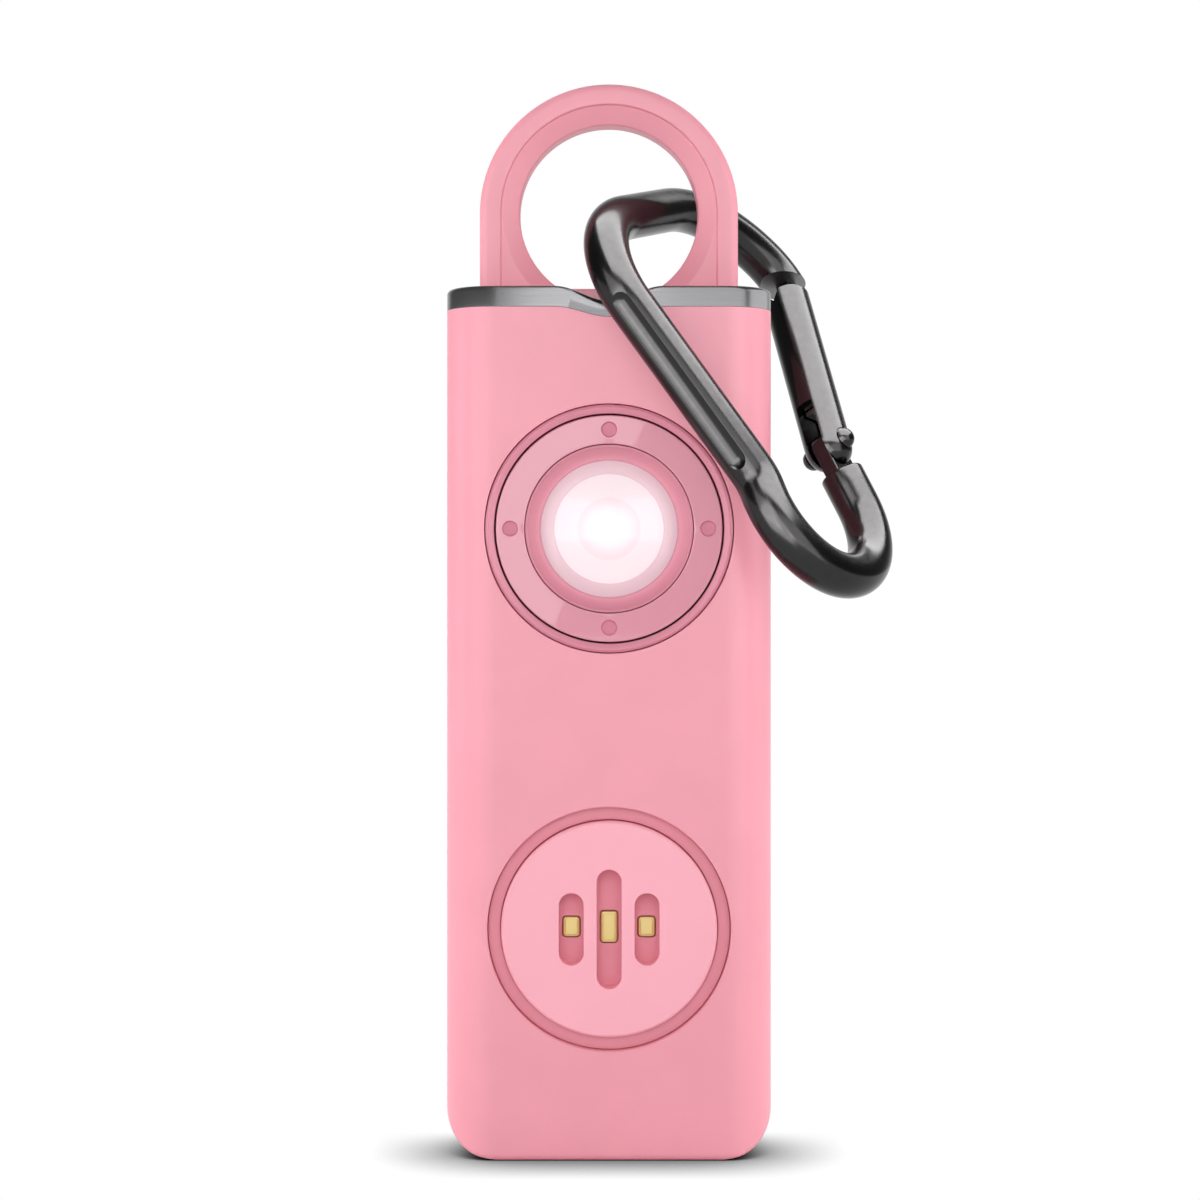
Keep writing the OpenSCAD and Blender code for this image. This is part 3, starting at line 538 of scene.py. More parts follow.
ref_out, ref_in = BEZEL_BORE / 2 - 0.06, LENS_D / 2 + 0.05
strobe_reflector = turned("strobe_reflector_cone", eased(
    [(ref_out, REFLECTOR_BACK), (ref_out, FRONT + 0.3), (ref_out - 0.2, FRONT + 0.3),
     (ref_in, FRONT + LENS_SINK), (ref_in, FRONT + LENS_SINK + LENS_T),
     (ref_in - 0.6, FRONT + LENS_SINK + LENS_T), (ref_in - 0.6, REFLECTOR_BACK)],
    [0, 0.06, 0.06, 0.08, 0, 0, 0]), STROBE_Z)


def painted_glow(material, stops):
    """Painted glow: emission by the distance from the strobe's axis, as colour stops at radii in
    millimetres.
    """
    tree = material.node_tree
    where = node(tree, "ShaderNodeTexCoord")
    centre = node(tree, "ShaderNodeMapping")
    centre.inputs["Location"].default_value = (0, 0, -STROBE_Z * MM)
    flat = node(tree, "ShaderNodeVectorMath", operation="MULTIPLY")
    flat.inputs[1].default_value = (1 / MM, 0, 1 / MM)
    away = node(tree, "ShaderNodeVectorMath", operation="LENGTH")
    span = node(tree, "ShaderNodeMapRange", From_Min=0.0, From_Max=GLOW_REACH)
    ramp = node(tree, "ShaderNodeValToRGB")
    bar = ramp.color_ramp
    while len(bar.elements) < len(stops):
        bar.elements.new(0.5)
    for slot, (radius, colour) in zip(bar.elements, stops):
        slot.position = radius / GLOW_REACH
        slot.color = (*colour, 1)
    wire(tree, (where, "Object", centre, "Vector"), (centre, 0, flat, 0), (flat, 0, away, 0),
         (away, "Value", span, "Value"), (span, 0, ramp, "Fac"))
    wire(tree, (ramp, "Color", tree.nodes["Principled BSDF"], "Emission Color"))


# The reflector's emission is a painted glow next to the lens, fading to nothing by its mouth.
reflector_satin = moulded("reflector_satin", (0.66, 0.225, 0.295, 1), roughness=0.3, cloud=0.03,
                          depth=0.004, Emission_Strength=1.0)
painted_glow(reflector_satin, [(6.2, (0.26, 0.15, 0.18)), (6.8, (0.10, 0.05, 0.06)),
                             (7.5, (0.0, 0.0, 0.0))])
finish_piece(strobe_reflector, reflector_satin, "case", "strobe_reflector")

dome_r, lens_step = 14.0, 0.2
dome_rise = dome_r - sqrt(dome_r ** 2 - CORE_D ** 2 / 4)
lens_face = FRONT + LENS_SINK
dome = [CORE_D / 2 * sin(pi / 2 * i / 16) for i in range(17)]
dome = [(r, lens_face - lens_step - dome_rise + dome_r - sqrt(dome_r ** 2 - r ** 2))
        for r in dome]
strobe_lens = turned("strobe_lens_disc", dome + [
    (CORE_D / 2 + 0.04, lens_face - lens_step + 0.05), (CORE_D / 2 + 0.06, lens_face - 0.03),
    (CORE_D / 2 + 0.14, lens_face), (LENS_D / 2 - 0.08, lens_face), (LENS_D / 2, lens_face + 0.08),
    (LENS_D / 2, lens_face + LENS_T), (0, lens_face + LENS_T)], STROBE_Z)
# The lens's emission is a painted glow, white at the middle and pinker towards its rim.
lens_frost = moulded("lens_frost", (0.30, 0.27, 0.28, 1), roughness=0.3, cloud=0.02, depth=0.0,
                     Coat_Weight=0.4, Coat_Roughness=0.08, Emission_Strength=1.0)
painted_glow(lens_frost, [
    (0.0, (0.80, 0.80, 0.80)), (1.2, (0.75, 0.70, 0.72)), (2.5, (0.68, 0.53, 0.57)),
    (2.84, (0.68, 0.515, 0.555)), (2.90, (0.71, 0.575, 0.605)), (4.4, (0.71, 0.575, 0.605)),
    (4.98, (0.70, 0.56, 0.595)), (5.06, (0.55, 0.33, 0.38)), (5.5, (0.49, 0.26, 0.31)),
    (6.3, (0.40, 0.175, 0.225))])
finish_piece(strobe_lens, lens_frost, "case", "strobe_lens")


def dress(node_name, material):
    """Gives a CAD node its finish."""
    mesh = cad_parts[node_name].data
    if not mesh.materials:
        mesh.materials.append(material)
    for i in range(len(mesh.materials)):
        mesh.materials[i] = material


dress("strobe_led", moulded("lamp_silicone", (0.86, 0.78, 0.42, 1), roughness=0.35, cloud=0.08,
                            depth=0.004))

# --------------------------------------------------------------------- Sounder
# A slotted disc, moulded in the case's pink, is pressed into a housing that
# leaves a flat groove round it; the housing's deeper pink is painted shade for
# the groove and the slot floors. Three gold-plated pads of the sounder plate
# show through ports at the bottom of the slots.
GROOVE_D, GROOVE_DEEP, DISC_D = 22.1, 1.0, 19.7
SLOT_DEEP, FLOOR_T = 2.2, 1.2
SLOT_W, SLOT_PITCH, SLOT_LEN, SLOT_MID = 2.25, 3.45, 6.56, 10.85
PAD_W, PAD_H, PAD_MID, PAD_R = 1.62, 1.9, 2.94, 0.35
PLATE_D, PLATE_T = 18.4, 0.3
SLOT_FLOOR = FRONT + SLOT_DEEP
HOUSING_BACK = SLOT_FLOOR + FLOOR_T


def round_rect(w, h, r, steps=10):
    """Closed outline of a rectangle with round corners, in x and z."""
    line = []
    for k, (sx, sz) in enumerate(((1, 1), (-1, 1), (-1, -1), (1, -1))):
        for i in range(steps + 1):
            a = pi / 2 * (k + i / steps)
            line.append((sx * (w / 2 - r) + r * cos(a), sz * (h / 2 - r) + r * sin(a)))
    return line


def layered(name, layers, x, z):
    """Stack of like outlines, each with its own y, closed at both ends."""
    points, faces = [], []
    n = len(layers[0][0])
    for line, y in layers:
        points += [(x + px, y, z + pz) for px, pz in line]
    for j in range(len(layers) - 1):
        for i in range(n):
            k = (i + 1) % n
            faces.append((j * n + i, j * n + k, (j + 1) * n + k, (j + 1) * n + i))
    faces.append(tuple(range(n)))
    faces.append(tuple(range((len(layers) - 1) * n, len(layers) * n)))
    return new_piece(name, points, faces)


def slot_tool(w, h, x, lip=0.09):
    """Cutter of a slot with round ends and a softened mouth."""
    def ring(grow):
        return round_rect(w + 2 * grow, h + 2 * grow, w / 2 + grow - 1e-4, 16)
    return layered("cutter", [(ring(lip), FRONT - 1), (ring(lip), FRONT - 0.001),
                              (ring(lip * 0.3), FRONT + lip * 0.3), (ring(0), FRONT + lip),
                              (ring(0), SLOT_FLOOR + 1)], x, SOUNDER_Z)


def pad_height(i):
    return PAD_MID if i == 0 else PAD_H


sounder_housing = turned("sounder_housing_cup", eased(
    [(0, SLOT_FLOOR), (DISC_D / 2 + 0.08, SLOT_FLOOR), (DISC_D / 2 + 0.08, FRONT + GROOVE_DEEP),
     (GROOVE_D / 2, FRONT + GROOVE_DEEP), (GROOVE_D / 2, HOUSING_BACK), (0, HOUSING_BACK)],
    [0, 0, 0.08, 0.05, 0, 0]), SOUNDER_Z)
carve(sounder_housing, *[
    layered("cutter", [(round_rect(PAD_W + 0.12, pad_height(i) + 0.12, PAD_R + 0.06), y)
                       for y in (SLOT_FLOOR - 1, HOUSING_BACK + 1)], i * SLOT_PITCH, SOUNDER_Z)
    for i in (-1, 0, 1)])
# Painted shade: the housing is a deeper pink so that the groove and slot floors look shaded.
groove_painted_shade = moulded("groove_painted_shade", (0.80, 0.30, 0.38, 1), roughness=0.4, cloud=0.04)
finish_piece(sounder_housing, groove_painted_shade, "case", "sounder_housing")

disc_r = DISC_D / 2
sounder_cover = turned("sounder_cover_disc", eased(
    [(0, FRONT), (disc_r - 0.2, FRONT), (disc_r, FRONT + 0.2), (disc_r, SLOT_FLOOR),
     (0, SLOT_FLOOR)], [0, 0.12, 0.12, 0, 0]), SOUNDER_Z)
carve(sounder_cover, *[slot_tool(SLOT_W, SLOT_MID if i == 0 else SLOT_LEN, i * SLOT_PITCH)
                       for i in (-1, 0, 1)])
disc_plastic = moulded("disc_plastic", (1.0, 0.435, 0.525, 1), roughness=0.38, cloud=0.04)
finish_piece(sounder_cover, disc_plastic, "case", "sounder_cover")

sounder_plate = turned("sounder_plate_gold", [(0, HOUSING_BACK), (PLATE_D / 2, HOUSING_BACK),
                                              (PLATE_D / 2, HOUSING_BACK + PLATE_T),
                                              (0, HOUSING_BACK + PLATE_T)], SOUNDER_Z)


def gold_pad(i):
    """Coined pad: soft outer edge, a fine sunk line and a raised panel inside it."""
    w, h, top = PAD_W, pad_height(i), SLOT_FLOOR - 0.1

    def ring(inset):
        return round_rect(w - 2 * inset, h - 2 * inset, max(PAD_R - inset, 0.1))
    return layered("pad", [(ring(0), HOUSING_BACK + 0.05), (ring(0), top + 0.14),
                           (ring(0.04), top + 0.05), (ring(0.13), top), (ring(0.22), top),
                           (ring(0.25), top + 0.04), (ring(0.28), top + 0.04),
                           (ring(0.32), top)], i * SLOT_PITCH, SOUNDER_Z)


carve(sounder_plate, *[gold_pad(i) for i in (-1, 0, 1)], keep="UNION")


def metal_group():
    """Worked metal: streaks along one direction in colour, gloss and height."""
    group, given, out, _ = open_tree("worked_metal", "ShaderNodeTree", [
        ("Colour", "Color", (0.7, 0.7, 0.7, 1)), ("Streak colour", "Color", (0.6, 0.6, 0.6, 1)),
        ("Roughness", "Float", 0.3), ("Streak roughness", "Float", 0.4),
        ("Streaks per metre", "Vector", (300.0, 4000.0, 4000.0))], SKIN)
    where = node(group, "ShaderNodeTexCoord")
    draw = node(group, "ShaderNodeVectorMath", operation="MULTIPLY")
    streak = node(group, "ShaderNodeTexNoise", Scale=1.0, Detail=4.0, Roughness=0.65)
    spread = node(group, "ShaderNodeMapRange", From_Min=0.3, From_Max=0.7)
    tint = node(group, "ShaderNodeMix", data_type="RGBA")
    rough = node(group, "ShaderNodeMix", data_type="FLOAT")
    wire(group, (where, "Object", draw, 0), (given, "Streaks per metre", draw, 1),
         (draw, 0, streak, "Vector"), (streak, "Fac", spread, "Value"), (spread, 0, tint, 0),
         (given, "Colour", tint, 6), (given, "Streak colour", tint, 7), (spread, 0, rough, 0),
         (given, "Roughness", rough, 2), (given, "Streak roughness", rough, 3),
         (tint, 2, out, "Colour"), (rough, 0, out, "Roughness"), (streak, "Fac", out, "Height"))
    return group


WORKED = metal_group()


def worked(name, colour, streak, roughness, streak_roughness, streaks, metallic=1.0, depth=0.004):
    """Metal with the worked surface."""
    return skinned(name, WORKED, {
        "Colour": colour, "Streak colour": streak, "Roughness": roughness,
        "Streak roughness": streak_roughness, "Streaks per metre": streaks},
        0.25, depth, {"Metallic": metallic})


pad_gold = worked("pad_gold", (0.69, 0.55, 0.215, 1), (0.65, 0.53, 0.235, 1), 0.28, 0.4,
                  (2500.0, 2500.0, 2500.0), metallic=0.75)
finish_piece(sounder_plate, pad_gold, "case", "sounder_plate", 50)
dress("piezo_ceramic", moulded("fired_ceramic", (0.80, 0.79, 0.72, 1), roughness=0.55, cloud=0.12,
                               grain=9000.0))
contact_gold = worked("contact_gold", (0.80, 0.62, 0.26, 1), (0.70, 0.54, 0.24, 1), 0.25, 0.4,
                      (1500.0, 300.0, 1500.0))
dress("sounder_contacts", contact_gold)

# --------------------------------------------- Circuit board and what it carries
# A green glass-epoxy board with the controller, a wound coil that steps up the
# sounder's voltage, its driver, and the switch that the pull pin holds down.
board_epoxy = moulded("board_epoxy", (0.018, 0.12, 0.062, 1), roughness=0.3, cloud=0.25,
                      grain=2600.0, Coat_Weight=0.5)
chip_resin = moulded("chip_resin", (0.022, 0.022, 0.025, 1), roughness=0.55, cloud=0.2,
                     grain=7000.0)
dress("circuit_board", board_epoxy)
dress("controller_chip", chip_resin)
dress("driver_transistor", chip_resin)
dress("boost_coil", worked("wound_ferrite", (0.10, 0.09, 0.085, 1), (0.20, 0.11, 0.06, 1), 0.5, 0.6,
                           (400.0, 9000.0, 400.0), metallic=0.2))
dress("switch_body", chip_resin)
dress("switch_plunger", moulded("plunger_nylon", (0.78, 0.77, 0.72, 1), roughness=0.4, cloud=0.06))

# ------------------------------------------------------------- Cells and clips
# Two nickel-plated coin cells lie on sprung gold contacts, each held to the
# board by a bent strip of spring steel.
bright_nickel = worked("bright_nickel", (0.62, 0.61, 0.58, 1), (0.52, 0.51, 0.49, 1), 0.22, 0.36,
                       (900.0, 900.0, 5000.0))
spring_steel = worked("spring_steel", (0.56, 0.57, 0.58, 1), (0.46, 0.47, 0.48, 1), 0.26, 0.4,
                      (5000.0, 5000.0, 250.0))
dress("upper_cell", bright_nickel)
dress("lower_cell", bright_nickel)
dress("cell_contacts", contact_gold)
dress("cell_clips", spring_steel)

# -------------------------------------------------- Rear cover and its screws
# The plain back half, moulded from the same pink, closes on the front half and
# is held by four cross-head screws sunk in round wells.
SCREW_X, SCREW_ZS = 10.6, (31.05, 72.4)
HEAD_D, HEAD_H, WELL_D, WELL_DEEP = 3.6, 1.4, 3.9, 1.7
BACK = CASE_D / 2
screw_places = [(s * SCREW_X, z) for z in SCREW_ZS for s in (-1, 1)]


def well_tool(x, z):
    """Cutter of a screw well with a chamfered mouth."""
    made = turned("cutter", [(0, BACK + 1), (WELL_D / 2 + 0.15, BACK + 1),
                             (WELL_D / 2 + 0.15, BACK), (WELL_D / 2, BACK - 0.15),
                             (WELL_D / 2, BACK - WELL_DEEP), (0, BACK - WELL_DEEP)], z, 64)
    made.data.transform(Matrix.Translation((x * MM, 0, 0)))
    return made


rear_cover = cover_half("rear_cover_shell", 1)
carve(rear_cover, *[well_tool(x, z) for x, z in screw_places])
finish_piece(rear_cover, pink_plastic, "case", "rear_cover")

head_top = BACK - WELL_DEEP + HEAD_H
screw = turned("case_screws_steel", eased(
    [(0, -2.6), (1.0, -2.6), (1.0, head_top - HEAD_H), (HEAD_D / 2, head_top - HEAD_H),
     (HEAD_D / 2, head_top - 0.3), (HEAD_D / 2 - 0.5, head_top), (0, head_top)],
    [0, 0.2, 0, 0.05, 0.25, 0.3, 0]), 0, 48)


def cross_tool(turn):
    """One wing of the driver recess, narrower at its bottom."""
    top = [(1.05, 0.24), (-1.05, 0.24), (-1.05, -0.24), (1.05, -0.24)]
    low = [(0.5, 0.16), (-0.5, 0.16), (-0.5, -0.16), (0.5, -0.16)]
    made = layered("cutter", [(top, head_top + 0.5), (top, head_top), (low, head_top - 0.9)], 0, 0)
    made.data.transform(Matrix.Rotation(radians(turn), 4, "Y"))
    return made


carve(screw, cross_tool(25), cross_tool(115))
polish(screw, 30)
copies(screw, "case_screw_set", "GeometryNodeMeshGrid", [
    ("Spacing across", "Float", "Size X", 2 * SCREW_X * MM),
    ("Spacing up", "Float", "Size Y", (SCREW_ZS[1] - SCREW_ZS[0]) * MM)],
    (SCREW_ZS[1] + SCREW_ZS[0]) / 2, bright_nickel, Vertices_X=2, Vertices_Y=2)
finish_piece(screw, bright_nickel, "case", "case_screws", None)

# -------------------------------------------------------------------- Top band
# A drawn aluminium ring with a satin brushed face, dipped at the middle of the
# front and back. Its skirt plugs into the two covers and holds them together.
BAND_EDGE, DIP_TOP, BAND_IN, SKIRT_H = 0.45, 1.36, 2.35, 1.9


def case_ring(inset, across=60, corner=14):
    """Closed outline of the case above its base, moved in by inset, in x and y."""
    w, d, r = CASE_W / 2 - inset, CASE_D / 2 - inset, CORNER_R - inset
    line = []
    for k, (sx, sy) in enumerate(((1, 1), (-1, 1), (-1, -1), (1, -1))):
        line += [(sx * (w - r) + r * cos(pi / 2 * (k + i / corner)),
                  sy * (d - r) + r * sin(pi / 2 * (k + i / corner)))
                 for i in range(corner + 1)]
        if k % 2 == 0:
            line += [(sx * (w - r) * (1 - 2 * i / across), sy * d) for i in range(1, across)]
    return line


def stacked(name, rings, closed=True):
    """Joins like rings of 3-D points; a closed stack joins its last ring to its first."""
    points = [p for ring in rings for p in ring]
    n, m = len(rings[0]), len(rings)
    faces = []
    for j in range(m if closed else m - 1):
        k = (j + 1) % m
        faces += [(j * n + i, j * n + (i + 1) % n, k * n + (i + 1) % n, k * n + i)
                  for i in range(n)]
    if not closed:
        faces += [tuple(range(n)), tuple(range((m - 1) * n, m * n))]
    return new_piece(name, points, faces)


def band_ring(inset, z, depth):
    return [(x, y, z - dip(x, depth)) for x, y in case_ring(inset)]


band_rings = [band_ring(0.06, BAND_Z, DIP_LOW), band_ring(0, BAND_Z + 0.06, DIP_LOW),
              band_ring(0, CASE_H - BAND_EDGE, DIP_TOP)]
for i in range(1, 7):
    a = radians(15 * i)
    band_rings.append(band_ring(BAND_EDGE * (1 - cos(a)),
                                CASE_H - BAND_EDGE * (1 - sin(a)), DIP_TOP))
band_rings += [band_ring(BAND_IN - 0.1, CASE_H, DIP_TOP), band_ring(BAND_IN, CASE_H - 0.1, DIP_TOP),
               band_ring(BAND_IN, BAND_Z - SKIRT_H, 0), band_ring(WALL + 0.05, BAND_Z - SKIRT_H, 0),
               band_ring(WALL + 0.05, BAND_Z, DIP_LOW)]
top_band = stacked("top_band_ring", band_rings)
brushed_band = worked("brushed_band", (0.37, 0.37, 0.38, 1), (0.33, 0.33, 0.34, 1), 0.2, 0.28,
                      (120.0, 120.0, 9000.0), depth=0.003)
finish_piece(top_band, brushed_band, "case", "top_band", 50)
flagged(top_band, band_only, off_band)
dress("pin_guide", moulded("guide_nylon", (0.70, 0.68, 0.63, 1), roughness=0.45, cloud=0.06))

# -------------------------------------------------------- Pull loop and its pin
# One pink moulding: an arch with a flat outer frame and an inner bevel that
# thins towards the hole, standing on a plug that fits inside the band. A
# ground steel pin is pressed into the plug.
LOOP_W, LOOP_RISE, LOOP_T, FRAME_W = 24.0, 19.3, 5.0, 2.0
HOLE_R, BEVEL_R, HOLE_T, WEB_T = 8.3, 9.9, 2.4, 4.2
HOLE_Z = CASE_H + LOOP_RISE - LOOP_W / 2
PLUG_Z, PLUG_IN = 77.9, 2.5


def loop_section(inner, cone, step, outer):
    """Section of the loop across its frame, from the hole outwards: [reach, y]."""
    a, b, c = HOLE_T / 2, WEB_T / 2, LOOP_T / 2
    front = [(inner, -a), (cone, -b), (step, -b), (step + 0.06, -c), (outer, -c)]
    back = [(r, -y) for r, y in reversed(front)]
    radii = [0.3, 0.5, 0.08, 0.16, 0.75]
    return eased(front + back, radii + radii[::-1], 5)


loop_rings = []
frame_in, outer = LOOP_W / 2 - FRAME_W, LOOP_W / 2
legs = [-(HOLE_Z - CASE_H) - 0.6 + (HOLE_Z - CASE_H + 0.6) * i / 24 for i in range(24)]


def leg_ring(side, dz):
    section = loop_section(sqrt(HOLE_R ** 2 - dz * dz), sqrt(BEVEL_R ** 2 - dz * dz),
                           frame_in, outer)
    return [(side * r, y, HOLE_Z + dz) for r, y in section]


loop_rings += [leg_ring(1, dz) for dz in legs]
for i in range(97):
    a = pi * i / 96
    loop_rings.append([(r * cos(a), y, HOLE_Z + r * sin(a))
                       for r, y in loop_section(HOLE_R, BEVEL_R, frame_in, outer)])
loop_rings += [leg_ring(-1, dz) for dz in reversed(legs)]
pull_loop = stacked("pull_loop_arch", loop_rings, closed=False)
plug = stacked("plug", [[(x, y, PLUG_Z) for x, y in case_ring(PLUG_IN + 0.1)],
                        [(x, y, PLUG_Z + 0.1) for x, y in case_ring(PLUG_IN)],
                        [(x, y, CASE_H - 0.3) for x, y in case_ring(PLUG_IN)],
                        [(x, y, CASE_H - 0.09) for x, y in case_ring(PLUG_IN + 0.09)],
                        [(x, y, CASE_H) for x, y in case_ring(PLUG_IN + 0.3)]], closed=False)
carve(pull_loop, plug, keep="UNION")
loop_plastic = moulded("loop_plastic", (0.875, 0.335, 0.41, 1), roughness=0.36)
finish_piece(pull_loop, loop_plastic, "pull_pin", "pull_loop", 45)
dress("release_pin", worked("ground_steel", (0.60, 0.60, 0.61, 1), (0.50, 0.50, 0.51, 1), 0.16, 0.3,
                            (6000.0, 6000.0, 300.0)))

# ------------------------------------------------------------- Carabiner frame
# A round aluminium bar bent to shape, polished and anodised black. A flute is
# milled along the spine, the nose is cut off square to the gate and carries a
# tongue, and the lower end is flattened into a tang for the rivet.
BAR_R, BAR_EASE, SPINE_LEN = 2.08, 0.35, 19.0
TOP_START = -0.8        # where the spine goes over into the top bend
TOP_RUN = [(0, 7.7, -97.3), (8.0, 13.5, -62), (0, 7.0, -50)]
TOE_RUN = [(0, 4.3, -26.6), (0.9, 7.5, 188.3)]
TANG_LEN, SHOULDER, TANG_T = 6.0, 2.6, 1.6
GATE_LEN, GATE_HEADING, NOSE_GAP = 20.2, 50.7, 0.2
TONGUE_W, TONGUE_T, TONGUE_LEN, TONGUE_BODY = 2.6, 1.5, 3.5, 2.4
FLUTE_R, FLUTE_DEEP, FLUTE_TURN = 1.6, 0.45, 12
HANG = (Matrix.Translation((1.55, -9.68, 78.2)) @ Matrix.Rotation(radians(-36), 4, "Y")
        @ Matrix.Rotation(radians(57.2), 4, "Z") @ Matrix.Rotation(radians(90), 4, "X"))


def follow(run, at, heading):
    """Points along a run of [straight, bend radius, turn] steps, and where and how it ends."""
    line, p, a = [], Vector(at), radians(heading)
    for straight, r, turn in run:
        if straight:
            for i in range(1, 5):
                line.append(p + Vector((cos(a), sin(a))) * straight * i / 4)
            p = line[-1]
        s = 1 if turn > 0 else -1
        centre = p + Vector((cos(a + s * pi / 2), sin(a + s * pi / 2))) * r
        count = max(8, round(abs(turn) / 2.5))
        for i in range(1, count + 1):
            b = a + radians(turn) * i / count
            line.append(centre + Vector((cos(b - s * pi / 2),
                                         sin(b - s * pi / 2))) * r)
        p, a = line[-1], a + radians(turn)
    return line, p, a


top_line = follow(TOP_RUN, (0, TOP_START), 90)[0]
toe_line, toe_at, toe_heading = follow(TOE_RUN, (0, -SPINE_LEN), -90)
toe_way = Vector((cos(toe_heading), sin(toe_heading)))
bar_end = TANG_LEN - SHOULDER
rivet_at = toe_at + toe_way * TANG_LEN
spine_line = [Vector((0, TOP_START - (SPINE_LEN + TOP_START) * i / 20)) for i in range(21)]
tail_line = [toe_at + toe_way * t for t in (bar_end * 0.5, bar_end - BAR_EASE)]
bar_line = list(reversed(top_line)) + spine_line + toe_line + tail_line
bar_radii = [BAR_R] * len(bar_line)
for i in range(1, 7):
    lean = radians(15 * i)
    bar_line.append(toe_at + toe_way * (bar_end - BAR_EASE + BAR_EASE * sin(lean)))
    bar_radii.append(BAR_R - BAR_EASE * (1 - cos(lean)))

anodised = worked("black_anodised", (0.042, 0.041, 0.041, 1), (0.037, 0.036, 0.036, 1), 0.18, 0.23,
                  (1400.0, 1400.0, 1400.0), depth=0.0015)


def bent_bar(line, radii):
    """Geometry Nodes tree that draws a round bar along a bent line."""
    mesh = bpy.data.meshes.new("carabiner_bar")
    mesh.from_pydata([(p.x * MM, p.y * MM, 0) for p in line],
                     [(i, i + 1) for i in range(len(line) - 1)], [])
    share = mesh.attributes.new("thickness", "FLOAT", "POINT")
    for slot, r in zip(share.data, radii):
        slot.value = r / BAR_R
    made = bpy.data.objects.new("carabiner_bar", mesh)
    scene.collection.objects.link(made)
    solid = [("Geometry", "Geometry")]
    tree, given, out, known = open_tree("bent_bar", "GeometryNodeTree", solid + [
        ("Bar radius", "Float"), ("Sides", "Int"), ("Finish", "Material")], solid)
    thin = node(tree, "GeometryNodeInputNamedAttribute", data_type="FLOAT", Name="thickness")
    curve, weight, ring, sweep, real, paint = (node(tree, "GeometryNode" + kind) for kind in (
        "MeshToCurve", "SetCurveRadius", "CurvePrimitiveCircle", "CurveToMesh", "RealizeInstances",
        "SetMaterial"))
    sweep.inputs["Fill Caps"].default_value = True
    wire(tree, (given, "Geometry", curve, "Mesh"), (curve, 0, weight, "Curve"),
         (thin, 0, weight, "Radius"), (given, "Bar radius", ring, "Radius"),
         (given, "Sides", ring, "Resolution"), (weight, 0, sweep, "Curve"),
         (ring, 0, sweep, "Profile Curve"))
    if "Scale" in sweep.inputs:
        wire(tree, (thin, 0, sweep, "Scale"))
    wire(tree, (sweep, 0, real, 0), (real, 0, paint, "Geometry"),
         (given, "Finish", paint, "Material"), (paint, 0, out, 0))
    run_tree(made, tree, known, {"Bar radius": BAR_R * MM, "Sides": 64, "Finish": anodised})
    return made


def flat_bar(name, outline, z0, z1, place, ease=0.12):
    """Plate with eased edges: an outline in x and y, from z0 to z1."""
    rings = []
    centre = sum((Vector(p) for p in outline), Vector((0, 0))) / len(outline)
    for z, inset in ((z0, ease), (z0 + ease * 0.3, ease * 0.3), (z0 + ease, 0), (z1 - ease, 0),
                     (z1 - ease * 0.3, ease * 0.3), (z1, ease)):
        ring = []
        for p in outline:
            away = Vector(p) - centre
            q = centre + away * (1 - inset / max(away.length, 0.5))
            ring.append((q.x, q.y, z))
        rings.append(ring)
    made = stacked(name, rings, closed=False)
    made.data.transform(Matrix.Diagonal((1 / MM, 1 / MM, 1 / MM, 1)))
    made.data.transform(place)
    made.data.transform(Matrix.Diagonal((MM, MM, MM, 1)))
    return made


GATE_AXES = (Matrix.Translation((rivet_at.x, rivet_at.y, 0))
             @ Matrix.Rotation(radians(GATE_HEADING), 4, "Z"))
TOE_AXES = Matrix.Translation((toe_at.x, toe_at.y, 0)) @ Matrix.Rotation(toe_heading, 4, "Z")
bar = bent_bar(bar_line, bar_radii)
clean(bar.data, slivers=False)

trim = 8.0
nose_end = GATE_LEN + NOSE_GAP
nose_tool = flat_bar("cutter", [(nose_end - 2 * trim, -trim), (nose_end, -trim), (nose_end, trim),
                                (nose_end - 2 * trim, trim)], -trim, trim, GATE_AXES, 0)
carve(bar, nose_tool)


def long_flute():
    """Cutter of the flute: a rod with round ends beside the spine."""
    section = []
    y0, y1 = -SPINE_LEN + FLUTE_R, TOP_START + 0.6
    for i in range(13):
        a = radians(-90 + 90 * i / 12)
        section.append((FLUTE_R * cos(a), y0 + FLUTE_R * sin(a)))
    for i in range(13):
        a = radians(90 * i / 12)
        section.append((FLUTE_R * cos(a), y1 + FLUTE_R * sin(a)))
    section[0], section[-1] = (0, section[0][1]), (0, section[-1][1])
    made = turned("cutter", section, 0, 72)
    made.data.transform(Matrix.Rotation(radians(FLUTE_TURN), 4, "Y")
                        @ Matrix.Translation(((-BAR_R - FLUTE_R + FLUTE_DEEP) * MM, 0, 0)))
    return made


carve(bar, long_flute())
tang_round = [(TANG_LEN + TANG_T * cos(radians(a)), TANG_T * sin(radians(a)))
              for a in range(-80, 81, 10)]
tang = flat_bar("tang", [(bar_end - 1, -TANG_T), (TANG_LEN, -TANG_T)] + tang_round
                + [(TANG_LEN, TANG_T), (bar_end - 1, TANG_T)], -TANG_T / 2, TANG_T / 2, TOE_AXES)
tongue_side = [(nose_end + 1, TONGUE_T / 2), (nose_end - TONGUE_BODY, TONGUE_T / 2),
               (nose_end - TONGUE_LEN, 0.1)]
tongue = flat_bar("tongue", [(x, -y) for x, y in tongue_side] + tongue_side[::-1],
                  -0.1, TONGUE_W / 2, GATE_AXES @ Matrix.Rotation(pi / 2, 4, "X"))
carve(bar, tang, tongue, keep="UNION")
HANG_M = Matrix.Diagonal((MM, MM, MM, 1)) @ HANG @ Matrix.Diagonal((1 / MM, 1 / MM, 1 / MM, 1))
bar.name = "carabiner_bar"
bar.data.transform(HANG_M)
finish_piece(bar, anodised, "carabiner", "carabiner_frame", 14)
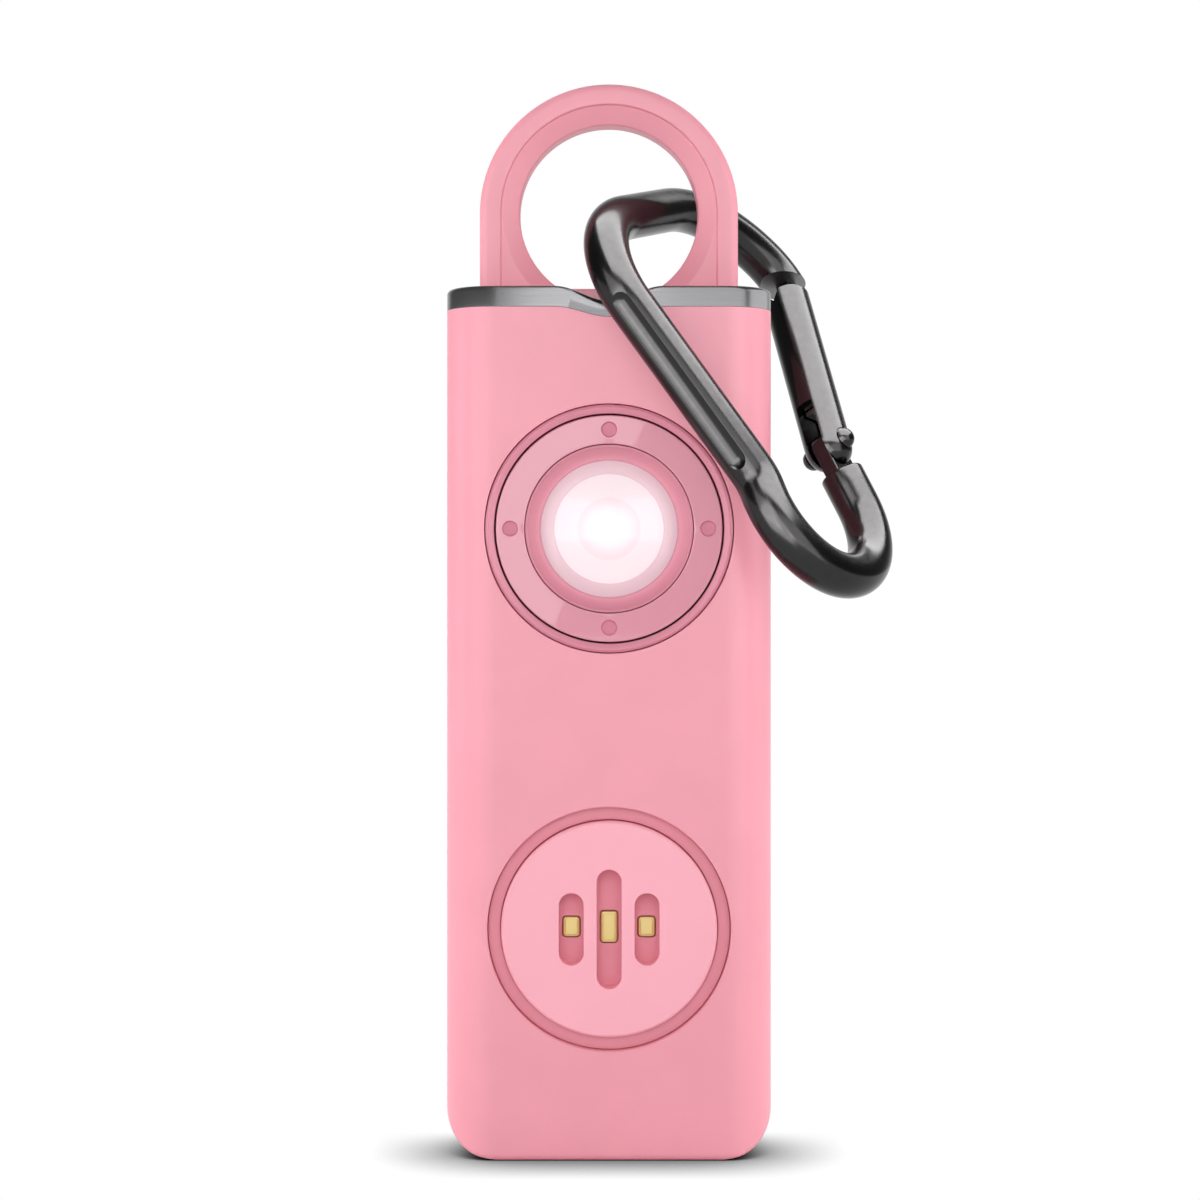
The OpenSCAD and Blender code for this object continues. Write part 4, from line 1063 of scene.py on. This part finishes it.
bar.data.materials.append(worked("milled_cut", (0.24, 0.235, 0.235, 1), (0.20, 0.196, 0.196, 1),
                                 0.3, 0.4, (6000.0, 400.0, 6000.0), depth=0.002))
gate_way = (HANG @ GATE_AXES).to_3x3() @ Vector((1, 0, 0))
nose_face = HANG @ GATE_AXES @ Vector((nose_end, 0, 0)) * MM
for spot in bar.data.polygons:
    from_cut = abs((spot.center - nose_face).dot(gate_way))
    if spot.normal.dot(gate_way) < -0.999 and from_cut < 0.02 * MM:
        spot.material_index = 1
flagged(bar, clip_only, past_clip)

# ------------------------------------------------- Gate, its rivet and its spring
# The gate is a turned black rod with a fork at the rivet and a notch in its tip
# for the nose tongue. A domed rivet is its pivot, and a bent spring in the
# fork's pocket pushes it shut.
GATE_R, FORK_SLOT, POCKET_END, GATE_TOP = 2.25, 2.5, 4.6, 18.7
NOTCH, NOTCH_HALF = 1.3, 1.68
SLOT_T = TANG_T + 0.3
RIVET_D, RIVET_HEAD, RIVET_DOME = 1.4, 2.1, 0.85


def rod_along_x(name, section, steps=72):
    """Turned rod on the X axis; section is a closed [radius, x] outline."""
    made = turned(name, section, 0, steps)
    made.data.transform(Matrix.Rotation(-pi / 2, 4, "Z"))
    return made


gate_section = [(GATE_R * cos(radians(a)), GATE_R * sin(radians(a)))
                for a in range(-90, 1, 6)]
gate_section[0] = (0, -GATE_R)
gate_section += [(GATE_R, GATE_TOP - 0.2), (GATE_R - 0.06, GATE_TOP - 0.06),
                 (GATE_R - 0.2, GATE_TOP), (0, GATE_TOP)]
gate = rod_along_x("carabiner_gate_rod", gate_section)


def gate_block(x0, x1, y0, y1, z0, z1):
    return flat_bar("cutter", [(x0, y0), (x1, y0), (x1, y1), (x0, y1)], z0, z1,
                    Matrix.Identity(4), 0)


half_slot = SLOT_T / 2
carve(gate, gate_block(-6, FORK_SLOT, -6, 6, -half_slot, half_slot))
carve(gate, gate_block(FORK_SLOT - 1, POCKET_END, -GATE_R / 2, 6, -half_slot, half_slot))
carve(gate, flat_bar("cutter", [(GATE_TOP - NOTCH, 0), (GATE_TOP + 1, -NOTCH_HALF),
                                (GATE_TOP + 1, NOTCH_HALF)],
                     -6, 6, Matrix.Rotation(pi / 2, 4, "X"), 0))


def seat_tool(side):
    """Spot face under a rivet head."""
    r = RIVET_HEAD / 2 + 0.04
    made = turned("cutter", [(0, 0), (r, 0), (r, 2), (0, 2)], 0, 48)
    made.data.transform(Matrix.Translation((0, (GATE_R - 0.2) * MM, 0)))
    made.data.transform(Matrix.Rotation(pi / 2 * side, 4, "X"))
    return made


carve(gate, seat_tool(1), seat_tool(-1))
AXES_M = Matrix.Diagonal((MM, MM, MM, 1)) @ HANG @ GATE_AXES @ Matrix.Diagonal((1 / MM,) * 3 + (1,))
gate.data.transform(AXES_M)
finish_piece(gate, anodised, "gate", "carabiner_gate", 32)
flagged(gate, clip_only, past_clip)

seat = GATE_R - 0.15
ball = (RIVET_HEAD ** 2 / 4 + RIVET_DOME ** 2) / (2 * RIVET_DOME)
head = [(RIVET_HEAD / 2 * i / 8, seat + RIVET_DOME - ball
         + sqrt(ball ** 2 - (RIVET_HEAD / 2 * i / 8) ** 2)) for i in range(9)]
half_rivet = head + [(RIVET_HEAD / 2, seat), (RIVET_D / 2, seat)]
rivet = turned("gate_rivet_dome", half_rivet + [(r, -y) for r, y in reversed(half_rivet)], 0, 48)
rivet.data.transform(Matrix.Rotation(pi / 2, 4, "X"))
rivet.data.transform(Matrix.Translation((rivet_at.x * MM, rivet_at.y * MM, 0)))
rivet.data.transform(HANG_M)
finish_piece(rivet, anodised, "carabiner", "gate_rivet", 40)
flagged(rivet, clip_only, past_clip)
dress("gate_spring", spring_steel)
